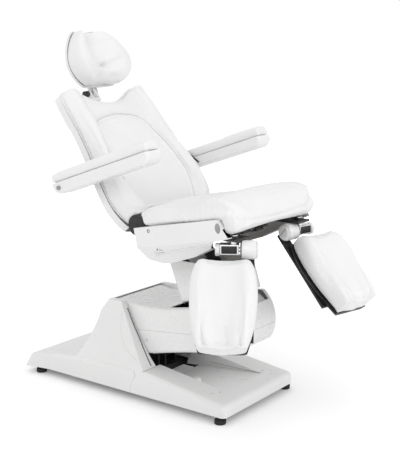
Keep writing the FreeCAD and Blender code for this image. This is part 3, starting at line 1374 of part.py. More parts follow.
def make_hinge_covers():
    """Round black caps on the recline shaft's heads, one each side, with a screw head."""
    pieces = []
    x, z = s.back_hinge_x, s.back_hinge_z
    shaft_end = s.seat_rail_offset + s.seat_lug / 2 + s.rest_gap + s.shaft_flange
    for side in (-1, 1):
        inner = s.hinge_cover_inner
        outer = inner + s.hinge_cover_width
        wall = s.hinge_cover_wall
        drum = rod(x, z, s.hinge_cover_radius, *ordered(side, inner, outer))
        hollow = rod(x, z, s.hinge_cover_radius - wall, *ordered(side, inner - wall, outer - wall))
        head = rod(x, z, s.side_boss_radius, *ordered(side, outer - wall * 2, outer + wall / 2))
        stay = rod(x, z, s.back_shaft_radius, *ordered(side, shaft_end, outer - wall))
        pieces.append(join([soften(cut(drum, [hollow]), s.hinge_cover_wall * 1.5, outer_end(outer)),
                            head, stay]))
    return finish(group(pieces), "hinge_covers", seat_place)


def outer_end(distance):
    """A test for round edges that lie at a distance from the middle plane."""
    def test(edge):
        box = edge.BoundBox
        return (box.YMax - box.YMin < 0.01 and edge.Curve.TypeId == "Part::GeomCircle"
                and abs(abs(box.YMax) - number(distance)) < 0.01)
    return test


# Armrests: shell, pad and release button, in the armrest's own frame at its hub

armrest_place = Frame(hub_x, 0, hub_z, pitch=-s.armrest_angle)


def armrest_side(inset):
    """Side view of an armrest's shell: level top, rounded lower rear end and front end."""
    rear = -s.armrest_rear + inset
    front = s.armrest_length - s.armrest_rear - inset
    low = -s.armrest_drop + inset
    high = s.armrest_shell_height - s.armrest_drop - inset
    step = s.armrest_shell_height * 0.75
    return [(rear, high), (rear + step, low, rear + step * 0.25, low + step * 0.3),
            (front - step, low), (front, high, front - step * 0.22, low + step * 0.3)]


def make_armrests():
    for name, side in (("right", -1), ("left", 1)):
        inner_y = s.armrest_offset - s.armrest_half
        outer_y = s.armrest_offset + s.armrest_half
        outer = side_prism(armrest_side(0), side, inner_y, outer_y)
        outer = soften(outer, s.armrest_round, lower_rim(side, inner_y, outer_y))
        wall = s.armrest_wall
        inner = side_prism(armrest_side(wall), side, inner_y + wall, outer_y - wall)
        sleeve = rod(0, 0, s.hub_radius + wall, *ordered(side, inner_y + wall / 2, outer_y
                                                         - wall * 2))
        sleeve = common(sleeve, outer)
        bore = rod(0, 0, s.hub_radius + s.fit_gap * 2, *ordered(side, inner_y - wall,
                                                                s.hub_reach + wall / 2))
        button = rod(s.armrest_length * 0.02 - s.armrest_rear * 0.72, 0, s.button_radius
                     + s.rest_gap, *ordered(side, outer_y - wall * 3, outer_y + wall))
        finish(cut(join([cut(outer, [inner]), sleeve]), [bore, button]),
               f"armrest_shell_{name}", armrest_place)


def side_prism(loop, side, inner_y, outer_y):
    """A side view run between two distances from the middle plane, on one side."""
    solid = prism(loop, s.overrun * 2)
    return common(solid, block(-s.overrun * 3, s.overrun * 3, *ordered(side, inner_y, outer_y),
                               -s.overrun * 2, s.overrun * 2))


def lower_rim(side, inner_y, outer_y):
    """The armrest shell's edges along both side planes, below its level top."""
    high = (s.armrest_shell_height - s.armrest_drop).value

    def test(edge):
        box = edge.BoundBox
        flat = box.YMax - box.YMin < 0.01
        on_side = min(abs(abs(box.YMax) - number(inner_y)),
                      abs(abs(box.YMax) - number(outer_y))) < 0.01
        return flat and on_side and box.ZMin < high - 1
    return test


def make_armrest_buttons():
    for name, side in (("right", -1), ("left", 1)):
        outer_y = s.armrest_offset + s.armrest_half
        place = s.armrest_length * 0.02 - s.armrest_rear * 0.72
        made = body(f"armrest_button_{name}")
        middle = outer_y - s.armrest_wall + s.button_travel / 2 + s.pin_head / 2
        pad(made, "XZ", s.button_length, rings=[(place, 0, s.button_radius)],
            centre=side * (middle - s.button_length * 0.2))
        finish(made, f"armrest_button_{name}", armrest_place)


# Headrest: sliding post, clamp knob, shell and pad

head_place = Frame(post_x, 0, post_z, pitch=-s.head_angle)


def make_headrest_post():
    """A steel post that slides in the back's socket and ends in a fork about the head hinge."""
    made = body("headrest_post")
    top = s.socket_top + s.post_out
    fork = s.head_fork_gap / 2
    arm = s.head_hinge_width / 2
    base = top - s.head_hinge_radius - s.head_hinge_rise
    pad(made, "XY", s.post_length, rings=[(s.post_x, 0, s.post_radius)],
        centre=base - s.post_length / 2)
    cheek = [(s.post_x - s.head_hinge_radius, base - s.head_hinge_rise),
             (s.post_x + s.head_hinge_radius, base - s.head_hinge_rise),
             (s.post_x + s.head_hinge_radius, top),
             (s.post_x - s.head_hinge_radius, top, s.post_x, top + s.head_hinge_radius)]
    pad(made, "XZ", s.head_hinge_width, [cheek])
    slot = box_loop(s.post_x - s.head_hinge_radius * 2, s.post_x + s.head_hinge_radius * 2,
                    base + s.rest_gap, top + s.head_hinge_radius * 2)
    pocket(made, "XZ", fork * 2, [slot])
    pocket(made, "XZ", arm * 4, rings=[(s.post_x, top, s.head_pin_radius + s.fit_gap)])
    return finish(made, "headrest_post", back_place)


def make_headrest_knob():
    """The hinge pin of the headrest with its clamping knob."""
    made = body("headrest_knob")
    arm = s.head_hinge_width / 2
    pin_end = arm + s.rest_gap
    top = s.socket_top + s.post_out
    pad(made, "XZ", pin_end * 2, rings=[(s.post_x, top, s.head_pin_radius)])
    pad(made, "XZ", s.pin_head, rings=[(s.post_x, top, s.head_pin_radius * 1.6)],
        centre=pin_end + s.pin_head / 2)
    pad(made, "XZ", s.knob_length, rings=[(s.post_x, top, s.knob_radius)],
        centre=-pin_end - s.knob_length / 2)
    lobe = s.knob_radius / 4
    spots = [(s.post_x + s.knob_radius * across, top + s.knob_radius * up, lobe)
             for across, up in KNOB_LOBE_SHARES]
    for spot in spots:
        pocket(made, "XZ", s.knob_length * 0.7, rings=[spot], centre=-pin_end - s.knob_length)
    rounded(made, s.knob_radius / 6, lambda edge: edge.Curve.TypeId == "Part::GeomCircle"
            and abs(edge.Curve.Radius - s.knob_radius.value) < 0.01
            and abs(edge.BoundBox.YMin + (pin_end + s.knob_length).value) < 0.01)
    return finish(made, "headrest_knob", back_place)


# Grip hollows around a knob, as shares of its radius
KNOB_LOBE_SHARES = ((1.05, 0), (0.525, 0.909), (-0.525, 0.909), (-1.05, 0), (-0.525, -0.909),
                    (0.525, -0.909))


# Headrest outline in front view, as shares of its height: height and half width
HEAD_SECTION_SHARES = ((0.02, 0.4), (0.2, 0.58), (0.42, 0.64), (0.66, 0.57), (0.86, 0.43),
                       (1, 0.26))


def head_rows():
    """Height, half width and share of the full depth of each headrest section."""
    depths = (0.6, 0.92, 1, 0.9, 0.72, 0.45)
    for (height, half), depth in zip(HEAD_SECTION_SHARES, depths):
        yield s.head_low + s.head_height * height, s.head_height * half, depth


def make_headrest_pad():
    """The crescent head pad: round back and a hollow front between two wings."""
    sections = []
    rear = s.head_back + s.head_shell_gap
    for level, side, depth in head_rows():
        front = s.head_back + s.head_pad_depth * depth * 0.9
        wing = front + s.head_dent * 1.6
        curl = rear + s.head_dent * 1.2
        middle = (curl + wing) / 2
        sections.append((level,
                         [(curl, -side * 0.94, middle, -side * 1.02), (curl, side * 0.94, rear, 0),
                          (wing, side * 0.86, middle, side * 1.02), (wing, -side * 0.86, front, 0)]))
    return finish(skin("XY", sections), "headrest_cushion", head_place)


def make_headrest_shell():
    """The shell behind the head pad, with the tongue that sits in the post's fork."""
    high = s.head_height
    face = s.head_back
    curl = face + s.head_dent * 1.2
    edge = face + s.head_dent * 0.5
    sections = []
    for level, side, depth in head_rows():
        rear = face - s.head_shell_depth * depth
        sections.append((level, [(edge, -side * 0.92), (edge, side * 0.92, rear, 0),
                                 (curl, side * 0.94), (curl, -side * 0.94, face, 0)]))
    shell = skin("XY", sections)
    tongue = prism([(-s.head_hinge_radius, 0, 0, -s.head_hinge_radius),
                    (-s.head_hinge_radius, s.head_low + high / 5),
                    (s.head_hinge_radius, s.head_low + high / 5),
                    (s.head_hinge_radius, 0)], s.head_fork_gap / 2 - s.rest_gap)
    bore = rod(0, 0, s.head_pin_radius + s.fit_gap, -s.head_fork_gap, s.head_fork_gap)
    return finish(cut(join([shell, tongue]), [bore]), "headrest_shell", head_place)


# Leg rests: swivel block, tilting bar with its barrel, shell, pad and knob

def leg_frames(side):
    """A leg rest's two frames: the swivelled block's, and the tilted leg's."""
    turn = -s.leg_out_angle if side < 0 else s.leg_in_angle
    tilt = s.leg_tilt_right if side < 0 else s.leg_tilt_left
    x = s.leg_x
    y = side * s.leg_offset
    return (Frame(x, y, s.leg_z, yaw=turn),
            Frame(x, y, s.leg_z, pitch=-tilt, yaw=turn))


def make_leg(name, side):
    swivel, tilt = leg_frames(side)
    label = f"leg_block_{name}"
    made = body(label)
    loop = box_loop(-s.block_half_length, s.block_half_length, s.block_low, s.block_high)
    half = (s.block_outer - s.block_inner) / 2
    centre = side * (s.block_outer + s.block_inner) / 2
    pad(made, "XZ", half * 2, [loop], centre=centre)
    rounded(made, s.block_half_length / 6, lambda edge: edge.Curve.TypeId == "Part::GeomLine")
    top = s.bracket_plate_z + s.bracket_plate * 2 + s.rest_gap
    pad(made, "XY", top, rings=[(0, 0, s.swivel_pin_radius)], centre=top / 2)
    pad(made, "XY", s.pin_head, rings=[(0, 0, s.swivel_pin_radius * 1.6)],
        centre=top + s.pin_head / 2)
    ring = s.bracket_plate_z - s.rest_gap - s.block_high
    pad(made, "XY", ring, rings=[(0, 0, s.swivel_pin_radius * 1.6)],
        centre=s.block_high + ring / 2)
    reach = s.barrel_width / 2 - s.barrel_centre + s.rest_gap
    pad(made, "XZ", reach, rings=[(0, 0, s.barrel_pin_radius)], centre=-side * reach / 2)
    pad(made, "XZ", s.pin_head, rings=[(0, 0, s.barrel_pin_radius * 1.6)],
        centre=-side * (reach + s.pin_head / 2))
    window = box_loop(-s.block_window / 2, s.block_window / 2,
                      s.block_low + s.pin_head * 2, s.block_high - s.pin_head * 2)
    pocket(made, "XZ", s.pin_head * 2, [window], centre=side * s.block_outer)
    finish(made, label, swivel)

    label = f"leg_bar_{name}"
    made = body(label)
    pad(made, "XZ", s.barrel_width, rings=[(0, 0, s.barrel_radius)],
        centre=side * s.barrel_centre)
    bar = box_loop(s.leg_bar_back, s.leg_bar_back + s.leg_bar, -s.leg_bar_length,
                   s.barrel_radius / 2)
    foot = box_loop(s.leg_bar_back, -s.barrel_radius / 2, -s.barrel_radius / 2,
                    s.barrel_radius / 2)
    for loop in (bar, foot):
        pad(made, "XZ", s.leg_bar_width, [loop], centre=side * s.barrel_centre)
    cross_high = -s.leg_pad_start - s.leg_bar_width / 2
    for share in (0, 0.62):
        level = cross_high - s.leg_bar_length * share
        cross = box_loop(s.leg_bar_back, s.leg_bar_back + s.leg_bar, level - s.leg_bar_width / 2,
                         level + s.leg_bar_width / 2)
        width = s.leg_pad_half_low - s.barrel_centre + s.leg_pad_offset
        pad(made, "XZ", width, [cross], centre=side * (s.barrel_centre + width / 2))
    pocket(made, "XZ", s.overrun, rings=[(0, 0, s.barrel_pin_radius + s.fit_gap)])
    finish(made, label, tilt)

    finish(leg_shell(side), f"leg_shell_{name}", tilt)
    finish(leg_pad(side), f"leg_cushion_{name}", tilt)

    label = f"leg_cap_{name}"
    made = body(label)
    start = s.block_outer + s.rest_gap
    pad(made, "XZ", s.leg_cap_length, rings=[(0, 0, s.leg_cap_radius)],
        centre=side * (start + s.leg_cap_length / 2))
    far = side * (start + s.leg_cap_length)
    rounded(made, s.leg_cap_radius / 5, lambda edge: edge.Curve.TypeId == "Part::GeomCircle"
            and abs(edge.BoundBox.YMin - far.value) < 0.01)
    finish(made, label, swivel)


# Leg pad sections down its length: place and half width as shares of the pad's length,
# and how deep the trough lies as a share of its deepest
LEG_SECTION_SHARES = ((0, 0.29, 0.3), (0.14, 0.34, 0.6), (0.42, 0.365, 0.9), (0.72, 0.335, 1),
                      (1, 0.265, 1))


def leg_rows(side, inset=0):
    """Place, middle and half width of each leg section, from the top of the pad down."""
    for place, half, trough in LEG_SECTION_SHARES:
        yield (-s.leg_pad_start - s.leg_pad_length * place, side * s.leg_pad_offset,
               s.leg_pad_length * half - inset, trough)


def leg_shell(side):
    """The stiff shell behind the pad: flat face, drawn-in and rounded rear."""
    face = s.leg_pad_back + s.leg_shell_depth
    rear = s.leg_bar_back + s.leg_bar + s.rest_gap * 2
    sections = []
    for z, middle, half, trough in leg_rows(side):
        half = half * 0.97
        sections.append((z, [(face, middle + half), (face, middle - half),
                             (rear, middle - half * 0.8, rear + s.leg_shell_depth / 3,
                              middle - half * 0.92),
                             (rear, middle + half * 0.8)]))
    return skin("XY", sections)


def leg_pad(side):
    """The calf pad: full sides and a hollow trough down the middle."""
    rear = s.leg_pad_back + s.leg_shell_depth + s.cushion_gap
    front = s.leg_pad_face
    sections = []
    for z, middle, half, trough in leg_rows(side):
        end = 0.72 if trough < 0.4 else 1
        lip = rear + (front - rear) * end
        shoulder = rear + (front - rear) * 0.6 * end
        sections.append((z, [(rear, middle + half * 0.93, rear + (shoulder - rear) / 2,
                              middle + half * 0.99), (rear, middle - half * 0.93),
                             (shoulder, middle - half, rear + (shoulder - rear) / 2,
                              middle - half * 0.99),
                             (lip - s.leg_trough * 0.4 * trough, middle - half * 0.5,
                              lip, middle - half * 0.82),
                             (lip - s.leg_trough * 0.4 * trough, middle + half * 0.5,
                              lip - s.leg_trough * trough, middle),
                             (shoulder, middle + half, lip, middle + half * 0.82)]))
    return skin("XY", sections)


# Soft forms of the seat, the back and the armrests

def seat_section(x, half, low, high, crown):
    """Cross section of the seat cushion: flat underside, full sides, crowned top."""
    shoulder = s.cushion_round
    middle = (low + high - shoulder) / 2
    return (x, [(-half * 0.97, low, -half, middle), (half * 0.97, low),
                (half * 0.985, high - shoulder, half, middle),
                (half - shoulder, high - shoulder * 0.1, half * 0.985 - shoulder * 0.3,
                 high - shoulder * 0.38),
                (-half + shoulder, high - shoulder * 0.1, 0, high + crown),
                (-half * 0.985, high - shoulder, -half * 0.985 + shoulder * 0.3,
                 high - shoulder * 0.38)])


# Seat cushion sections from the rear: place, half width and height as shares of its length,
# half width and top
SEAT_SECTION_SHARES = ((-0.1, 0.985, 0.93), (0.0, 0.995, 0.99), (0.15, 1, 1.01),
                       (0.42, 0.985, 0.93), (0.6, 0.985, 0.96), (0.76, 1, 1.05),
                       (0.9, 1, 1.04), (1, 0.985, 0.94))


def make_seat_cushion():
    """Seat pad: a dip behind the middle, and an apron that hangs down at the front."""
    low = s.board_low + s.board_thickness + s.cushion_gap
    length = s.seat_cushion_front
    top = skin("YZ", [seat_section(length * place, s.seat_cushion_half * half, low,
                                   s.seat_cushion_top * high, s.seat_crown)
                      for place, half, high in SEAT_SECTION_SHARES])
    rear = s.board_front + s.cushion_gap
    apron_side = [(rear, s.seat_front_drop), (length * 0.97, s.seat_front_drop),
                  (length, low + s.cushion_round, length * 1.015,
                   s.seat_front_drop * 0.6 + low * 0.4), (rear, low + s.cushion_round)]
    half = s.seat_cushion_half * 0.95
    bend = s.cushion_round
    corner = bend * 0.293
    foot = s.seat_front_drop
    apron_front = [(-half, foot + bend), (-half + bend, foot, -half + corner, foot + corner),
                   (half - bend, foot), (half, foot + bend, half - corner, foot + corner),
                   (half, low + bend * 2), (-half, low + bend * 2)]
    apron = common(prism(apron_side, half), prism(apron_front, s.overrun * 2, plane="YZ"))
    heel = rod(s.back_hinge_x, s.back_hinge_z, s.hinge_cover_radius + s.channel_gap * 4.4,
               -s.overrun, s.overrun)
    return finish(cut(join([top, apron]), [heel]), "seat_cushion", seat_place)


def back_pad_section(half, front):
    """Plan section of the back cushion: bolsters each side of a lower middle panel."""
    rear = s.back_cushion_rear
    waist = (rear + front) / 2
    inner = half - s.bolster_width
    panel = front - s.back_panel_sink
    return [(rear, half * 0.95, waist, half), (rear, -half * 0.95),
            (front - s.cushion_round * 0.5, -half * 0.97, waist, -half),
            (panel, -inner, front + s.seat_crown, -half + s.bolster_width * 0.45),
            (panel, inner, panel + s.seat_crown * 0.6, 0),
            (front - s.cushion_round * 0.5, half * 0.97, front + s.seat_crown,
             half - s.bolster_width * 0.45)]


def make_back_cushion():
    peak = s.back_peak
    outer = skin("XY", [(peak * z, back_pad_section(peak * half, peak * front))
                        for z, half, front in BACK_SECTION_SHARES])
    notches = [rod(0, 0, s.hinge_cover_radius + s.channel_gap,
                   *ordered(side, s.hinge_cover_inner - s.channel_gap, s.overrun))
               for side in (-1, 1)]
    return finish(cut(outer, [top_of_back(s.rest_gap)] + notches), "back_cushion", back_place)


def make_armrest_pads():
    for name, side in (("right", -1), ("left", 1)):
        middle = side * s.armrest_offset
        low = s.armrest_shell_height - s.armrest_drop + s.cushion_gap
        rear = -s.armrest_rear
        sections = []
        for place, half, high in ARMREST_SECTION_SHARES:
            wide = s.armrest_half * half
            top = low + s.armrest_pad_height * high
            waist = (low + top) / 2
            sections.append((rear + s.armrest_length * place,
                             [(middle - wide * 0.92, low, middle - wide, waist),
                              (middle + wide * 0.92, low),
                              (middle + wide * 0.8, top, middle + wide, waist),
                              (middle - wide * 0.8, top, middle, top + s.armrest_pad_height / 8)]))
        finish(skin("YZ", sections), f"armrest_pad_{name}", armrest_place)


# Armrest pad sections from the rear: place, half width and height as shares
ARMREST_SECTION_SHARES = ((0, 0.95, 0.94), (0.12, 1, 1), (0.5, 1, 1), (0.88, 1, 1),
                          (1, 0.95, 0.94))


# Build, check and write every sub-part

def make_all():
    make_base_frame()
    make_feet()
    make_foot_nuts()
    make_lift_shaft()
    make_base_pins()
    make_tower_cover()
    make_deck_cover()
    make_cover_screws()
    make_control_box()
    make_power_inlet()
    make_arm_beam()
    make_arm_bushes()
    make_nose_shaft()
    make_lift_motor()
    make_lift_ram()
    make_arm_covers()
    make_leveller_link()
    make_column_frame()
    make_column_pins()
    make_tilt_shaft()
    make_column_cover()
    make_seat_frame()
    make_small_motors()
    make_small_rams()
    make_back_shaft()
    make_leg_brackets()
    make_seat_board()
    make_side_covers()
    make_side_cover_screws()
    make_seat_cushion()
    make_back_frame()
    make_back_shell()
    make_hinge_covers()
    make_back_cushion()
    make_armrests()
    make_armrest_buttons()
    make_armrest_pads()
    make_headrest_post()
    make_headrest_knob()
    make_headrest_shell()
    make_headrest_pad()
    make_leg("right", -1)
    make_leg("left", 1)


def check():
    """Stop the build when any object failed or any sub-part isn't a sound solid."""
    for thing in doc.Objects:
        if "Invalid" in thing.State or "Error" in thing.State:
            raise RuntimeError(f"{thing.Name} failed: {thing.State}")
    for thing in finished:
        shape = thing.Shape
        if shape.isNull() or not shape.isValid() or not shape.Solids:
            raise RuntimeError(f"{thing.Label} is not a valid solid")


make_all()
doc.recompute()
check()
os.makedirs("parts", exist_ok=True)
for thing in finished:
    thing.Shape.exportStep(f"parts/{thing.Label}.step")
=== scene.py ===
import json
import math

import bmesh
import bpy
import numpy as np
from mathutils import Matrix, Vector
from mathutils.bvhtree import BVHTree


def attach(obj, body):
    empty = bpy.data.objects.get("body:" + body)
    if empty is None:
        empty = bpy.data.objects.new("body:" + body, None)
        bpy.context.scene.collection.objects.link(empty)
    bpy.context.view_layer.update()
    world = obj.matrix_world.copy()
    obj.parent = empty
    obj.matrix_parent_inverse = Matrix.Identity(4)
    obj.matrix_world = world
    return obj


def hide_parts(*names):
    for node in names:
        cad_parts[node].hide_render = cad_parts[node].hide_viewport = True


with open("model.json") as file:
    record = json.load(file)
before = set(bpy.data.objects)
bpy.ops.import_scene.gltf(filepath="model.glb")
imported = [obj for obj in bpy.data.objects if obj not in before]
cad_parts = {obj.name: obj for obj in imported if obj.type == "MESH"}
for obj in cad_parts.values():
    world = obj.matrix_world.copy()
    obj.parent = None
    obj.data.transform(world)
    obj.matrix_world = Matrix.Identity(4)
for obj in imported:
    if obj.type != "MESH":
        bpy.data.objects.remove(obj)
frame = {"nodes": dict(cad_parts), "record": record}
nodes = frame["nodes"]
scene = bpy.context.scene
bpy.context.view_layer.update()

# The camera, where the photograph was taken from

PHOTO_HEIGHT = 457
FOCAL_PIXELS = 921.09
CAMERA_PLACE = Vector((2.3523, -2.8762, 1.3784))
CAMERA_DIP = math.radians(11.0727)
CAMERA_TURN = math.radians(36.6698)
SENSOR = 36


def make_camera():
    """The camera, level from side to side and dipped towards the chair."""
    data = bpy.data.cameras.new("camera")
    data.sensor_width = SENSOR
    data.lens = FOCAL_PIXELS / PHOTO_HEIGHT * SENSOR
    camera = bpy.data.objects.new("camera", data)
    scene.collection.objects.link(camera)
    camera.location = CAMERA_PLACE
    camera.rotation_euler = (math.pi / 2 - CAMERA_DIP, 0, CAMERA_TURN)
    scene.camera = camera


make_camera()


# Light, floor and backdrop

AMBIENT = 0.78
MIDDLE = (0, 0, 0.7)
LAMPS = [("key", (1.5, -3.2, 2.5), (2.4, 2.0), 28), ("top", (-0.4, 0.2, 3.8), (2.8, 2.8), 14),
         ("side", (3.4, 0.6, 1.7), (1.6, 2.2), 22), ("left", (-3.0, -1.6, 1.8), (1.6, 2.2), 6)]
FLOOR_HALF = 9
FLOOR_WHITE = 0.97
FLOOR_GLOW = 0.14
BACKDROP_GLOW = 1.0
BACKDROP_NEAR, BACKDROP_FAR = 1.3, 3.2


def make_lamp(name, place, size, energy):
    """A soft square lamp that looks at the chair's middle."""
    data = bpy.data.lights.new(name, "AREA")
    data.shape = "RECTANGLE"
    data.size, data.size_y = size
    data.energy = energy
    lamp = bpy.data.objects.new(name, data)
    scene.collection.objects.link(lamp)
    lamp.location = place
    lamp.rotation_euler = (Vector(MIDDLE) - Vector(place)).to_track_quat("-Z", "Y").to_euler()


def seen_by_eye(tree):
    """One for rays that show the backdrop itself: straight from the camera or through glass."""
    path = tree.nodes.new("ShaderNodeLightPath")
    seen = tree.nodes.new("ShaderNodeMath")
    seen.operation = "MAXIMUM"
    tree.links.new(path.outputs["Is Camera Ray"], seen.inputs[0])
    tree.links.new(path.outputs["Is Transmission Ray"], seen.inputs[1])
    return seen.outputs[0]


def make_world():
    """Even light from all round, shown as plain white behind the chair."""
    world = bpy.data.worlds.new("studio")
    scene.world = world
    world.use_nodes = True
    tree = world.node_tree
    background = tree.nodes["Background"]
    background.inputs["Color"].default_value = (1, 1, 1, 1)
    strength = tree.nodes.new("ShaderNodeMapRange")
    strength.inputs["To Min"].default_value = AMBIENT
    strength.inputs["To Max"].default_value = 1.0
    tree.links.new(seen_by_eye(tree), strength.inputs["Value"])
    tree.links.new(strength.outputs["Result"], background.inputs["Strength"])


def make_floor():
    """Pale floor that keeps the chair's shadow and turns white away from it."""
    bm = bmesh.new()
    bmesh.ops.create_grid(bm, x_segments=1, y_segments=1, size=FLOOR_HALF)
    mesh = bpy.data.meshes.new("floor")
    bm.to_mesh(mesh)
    bm.free()
    floor = bpy.data.objects.new("floor", mesh)
    scene.collection.objects.link(floor)
    paint = bpy.data.materials.new("floor_paint")
    paint.use_nodes = True
    tree = paint.node_tree
    shader = tree.nodes["Principled BSDF"]
    shader.inputs["Base Color"].default_value = (FLOOR_WHITE, FLOOR_WHITE, FLOOR_WHITE, 1)
    shader.inputs["Roughness"].default_value = 1.0
    shader.inputs["Specular IOR Level"].default_value = 0.0
    shader.inputs["Emission Color"].default_value = (1, 1, 1, 1)
    place = tree.nodes.new("ShaderNodeTexCoord")
    away = tree.nodes.new("ShaderNodeVectorMath")
    away.operation = "LENGTH"
    tree.links.new(place.outputs["Object"], away.inputs[0])
    glow = tree.nodes.new("ShaderNodeMapRange")
    for name, value in (("From Min", BACKDROP_NEAR), ("From Max", BACKDROP_FAR),
                        ("To Min", FLOOR_GLOW), ("To Max", BACKDROP_GLOW)):
        glow.inputs[name].default_value = value
    tree.links.new(away.outputs["Value"], glow.inputs["Value"])
    shown = tree.nodes.new("ShaderNodeMath")
    shown.operation = "MULTIPLY"
    tree.links.new(glow.outputs["Result"], shown.inputs[0])
    tree.links.new(seen_by_eye(tree), shown.inputs[1])
    tree.links.new(shown.outputs[0], shader.inputs["Emission Strength"])
    floor.data.materials.append(paint)


for lamp_row in LAMPS:
    make_lamp(*lamp_row)
make_world()
make_floor()
scene.view_settings.view_transform = "Standard"


# Materials

# Most of a noise texture's values lie between these
NOISE_LOW, NOISE_HIGH = 0.3, 0.7
COAT_ROUGHNESS = 0.08


class Finish:
    """A material's node tree, with the few steps that every finish here takes."""

    def __init__(self, name, roughness, metallic=0.0, coat=0.0):
        self.material = bpy.data.materials.new(name)
        self.material.use_nodes = True
        self.tree = self.material.node_tree
        self.shader = self.tree.nodes["Principled BSDF"]
        self.shader.inputs["Roughness"].default_value = roughness
        self.shader.inputs["Metallic"].default_value = metallic
        self.shader.inputs["Coat Weight"].default_value = coat
        self.shader.inputs["Coat Roughness"].default_value = COAT_ROUGHNESS
        self.place = self.node("ShaderNodeTexCoord").outputs["Object"]
        self.height = None

    def node(self, kind, **settings):
        made = self.tree.nodes.new(kind)
        for name, value in settings.items():
            if hasattr(made, name):
                setattr(made, name, value)
            else:
                made.inputs[name.replace("_", " ")].default_value = value
        return made

    def link(self, output, socket):
        self.tree.links.new(output, socket)

    def noise(self, scale, detail=3.0, stretch=None):
        made = self.node("ShaderNodeTexNoise", Scale=scale, Detail=detail)
        place = self.place
        if stretch is not None:
            mapping = self.node("ShaderNodeMapping", Scale=stretch)
            self.link(self.place, mapping.inputs["Vector"])
            place = mapping.outputs["Vector"]
        self.link(place, made.inputs["Vector"])
        return made.outputs["Fac"]

    def pebbles(self, scale):
        made = self.node("ShaderNodeTexVoronoi", Scale=scale)
        self.link(self.place, made.inputs["Vector"])
        return made.outputs["Distance"]

    def spread(self, value, low, high):
        """A noise value brought to the range from low to high."""
        made = self.node("ShaderNodeMapRange")
        for name, number in (("From Min", NOISE_LOW), ("From Max", NOISE_HIGH), ("To Min", low),
                             ("To Max", high)):
            made.inputs[name].default_value = number
        self.link(value, made.inputs["Value"])
        return made.outputs["Result"]

    def colour(self, value, dark, light):
        """Colour that drifts from dark to light with the value."""
        drift = self.node("ShaderNodeValToRGB")
        drift.color_ramp.elements[0].position = NOISE_LOW
        drift.color_ramp.elements[1].position = NOISE_HIGH
        drift.color_ramp.elements[0].color = (*dark, 1)
        drift.color_ramp.elements[1].color = (*light, 1)
        self.link(value, drift.inputs["Fac"])
        self.link(drift.outputs["Color"], self.shader.inputs["Base Color"])

    def roughness(self, value, low, high):
        self.link(self.spread(value, low, high), self.shader.inputs["Roughness"])

    def bump(self, value, depth, strength=1.0):
        made = self.node("ShaderNodeBump", Strength=strength, Distance=depth)
        self.link(value, made.inputs["Height"])
        if self.height is not None:
            self.link(self.height, made.inputs["Normal"])
        self.height = made.outputs["Normal"]
        self.link(self.height, self.shader.inputs["Normal"])


def grey(value, warmth=0.0):
    return (value * (1 + warmth), value, value * (1 - warmth))


def upholstery_finish():
    """Coated fabric: fine pebbled grain, faint wrinkles and a satin sheen."""
    made = Finish("upholstery", 0.42)
    made.colour(made.noise(7, 4), grey(0.80), grey(0.83))
    made.roughness(made.noise(60, 2), 0.38, 0.5)
    made.bump(made.noise(18, 5), 0.0009, 0.3)
    made.bump(made.pebbles(900), 0.0002, 0.45)
    made.shader.inputs["Sheen Weight"].default_value = 0.05
    return made.material


def seam_shade_finish():
    """Stitched fold of the same cover, darkened as painted shade for the fold's own shadow."""
    made = Finish("seam_fold_shade", 0.6)
    made.colour(made.noise(80), grey(0.34), grey(0.44))
    made.bump(made.pebbles(900), 0.0002, 0.5)
    return made.material


def moulded_finish(name, dark, light, gloss=0.24, warmth=0.0):
    """Moulded shell with a light gloss and a barely uneven skin."""
    made = Finish(name, gloss, coat=0.15)
    made.colour(made.noise(4, 2), grey(dark, warmth), grey(light, warmth))
    made.roughness(made.noise(30, 4), gloss * 0.9, gloss * 1.25)
    made.bump(made.noise(7, 1), 0.0003, 0.08)
    return made.material


def powder_coat_finish():
    made = Finish("powder_coat", 0.45)
    made.colour(made.noise(40), grey(0.020), grey(0.034))
    made.roughness(made.noise(150), 0.38, 0.55)
    made.bump(made.noise(600, 2), 0.00012, 0.5)
    return made.material


def machined_finish():
    made = Finish("machined_steel", 0.3, metallic=1.0)
    made.colour(made.noise(30), grey(0.42), grey(0.52))
    made.roughness(made.noise(240, 2, (1, 12, 1)), 0.22, 0.42)
    made.bump(made.noise(500, 1, (1, 10, 1)), 0.00005, 0.4)
    return made.material


def chrome_finish():
    made = Finish("polished_chrome", 0.08, metallic=1.0)
    made.colour(made.noise(25), grey(0.80), grey(0.88))
    made.roughness(made.noise(90, 4), 0.05, 0.16)
    made.bump(made.noise(60, 1), 0.0002, 0.15)
    return made.material


def moulded_black_finish():
    made = Finish("moulded_black", 0.4)
    made.colour(made.noise(30), grey(0.012), grey(0.022))
    made.roughness(made.noise(120), 0.32, 0.5)
    made.bump(made.pebbles(1100), 0.00012, 0.4)
    return made.material


def rubber_finish():
    made = Finish("foot_rubber", 0.75)
    made.colour(made.noise(60), grey(0.010), grey(0.022))
    made.bump(made.noise(400, 3), 0.0002, 0.5)
    return made.material


def bronze_finish():
    made = Finish("bronze", 0.35, metallic=1.0)
    made.colour(made.noise(80), (0.42, 0.27, 0.12), (0.55, 0.37, 0.18))
    made.roughness(made.noise(200), 0.28, 0.45)
    return made.material


def grey_plastic_finish():
    made = Finish("grey_plastic", 0.45)
    made.colour(made.noise(30), grey(0.30), grey(0.36))
    made.bump(made.pebbles(900), 0.0001, 0.4)
    return made.material


def plywood_finish():
    made = Finish("plywood", 0.6)
    made.colour(made.noise(14, 6, (1, 9, 9)), (0.42, 0.28, 0.15), (0.58, 0.42, 0.25))
    made.bump(made.noise(60, 4, (1, 9, 9)), 0.0002, 0.4)
    return made.material


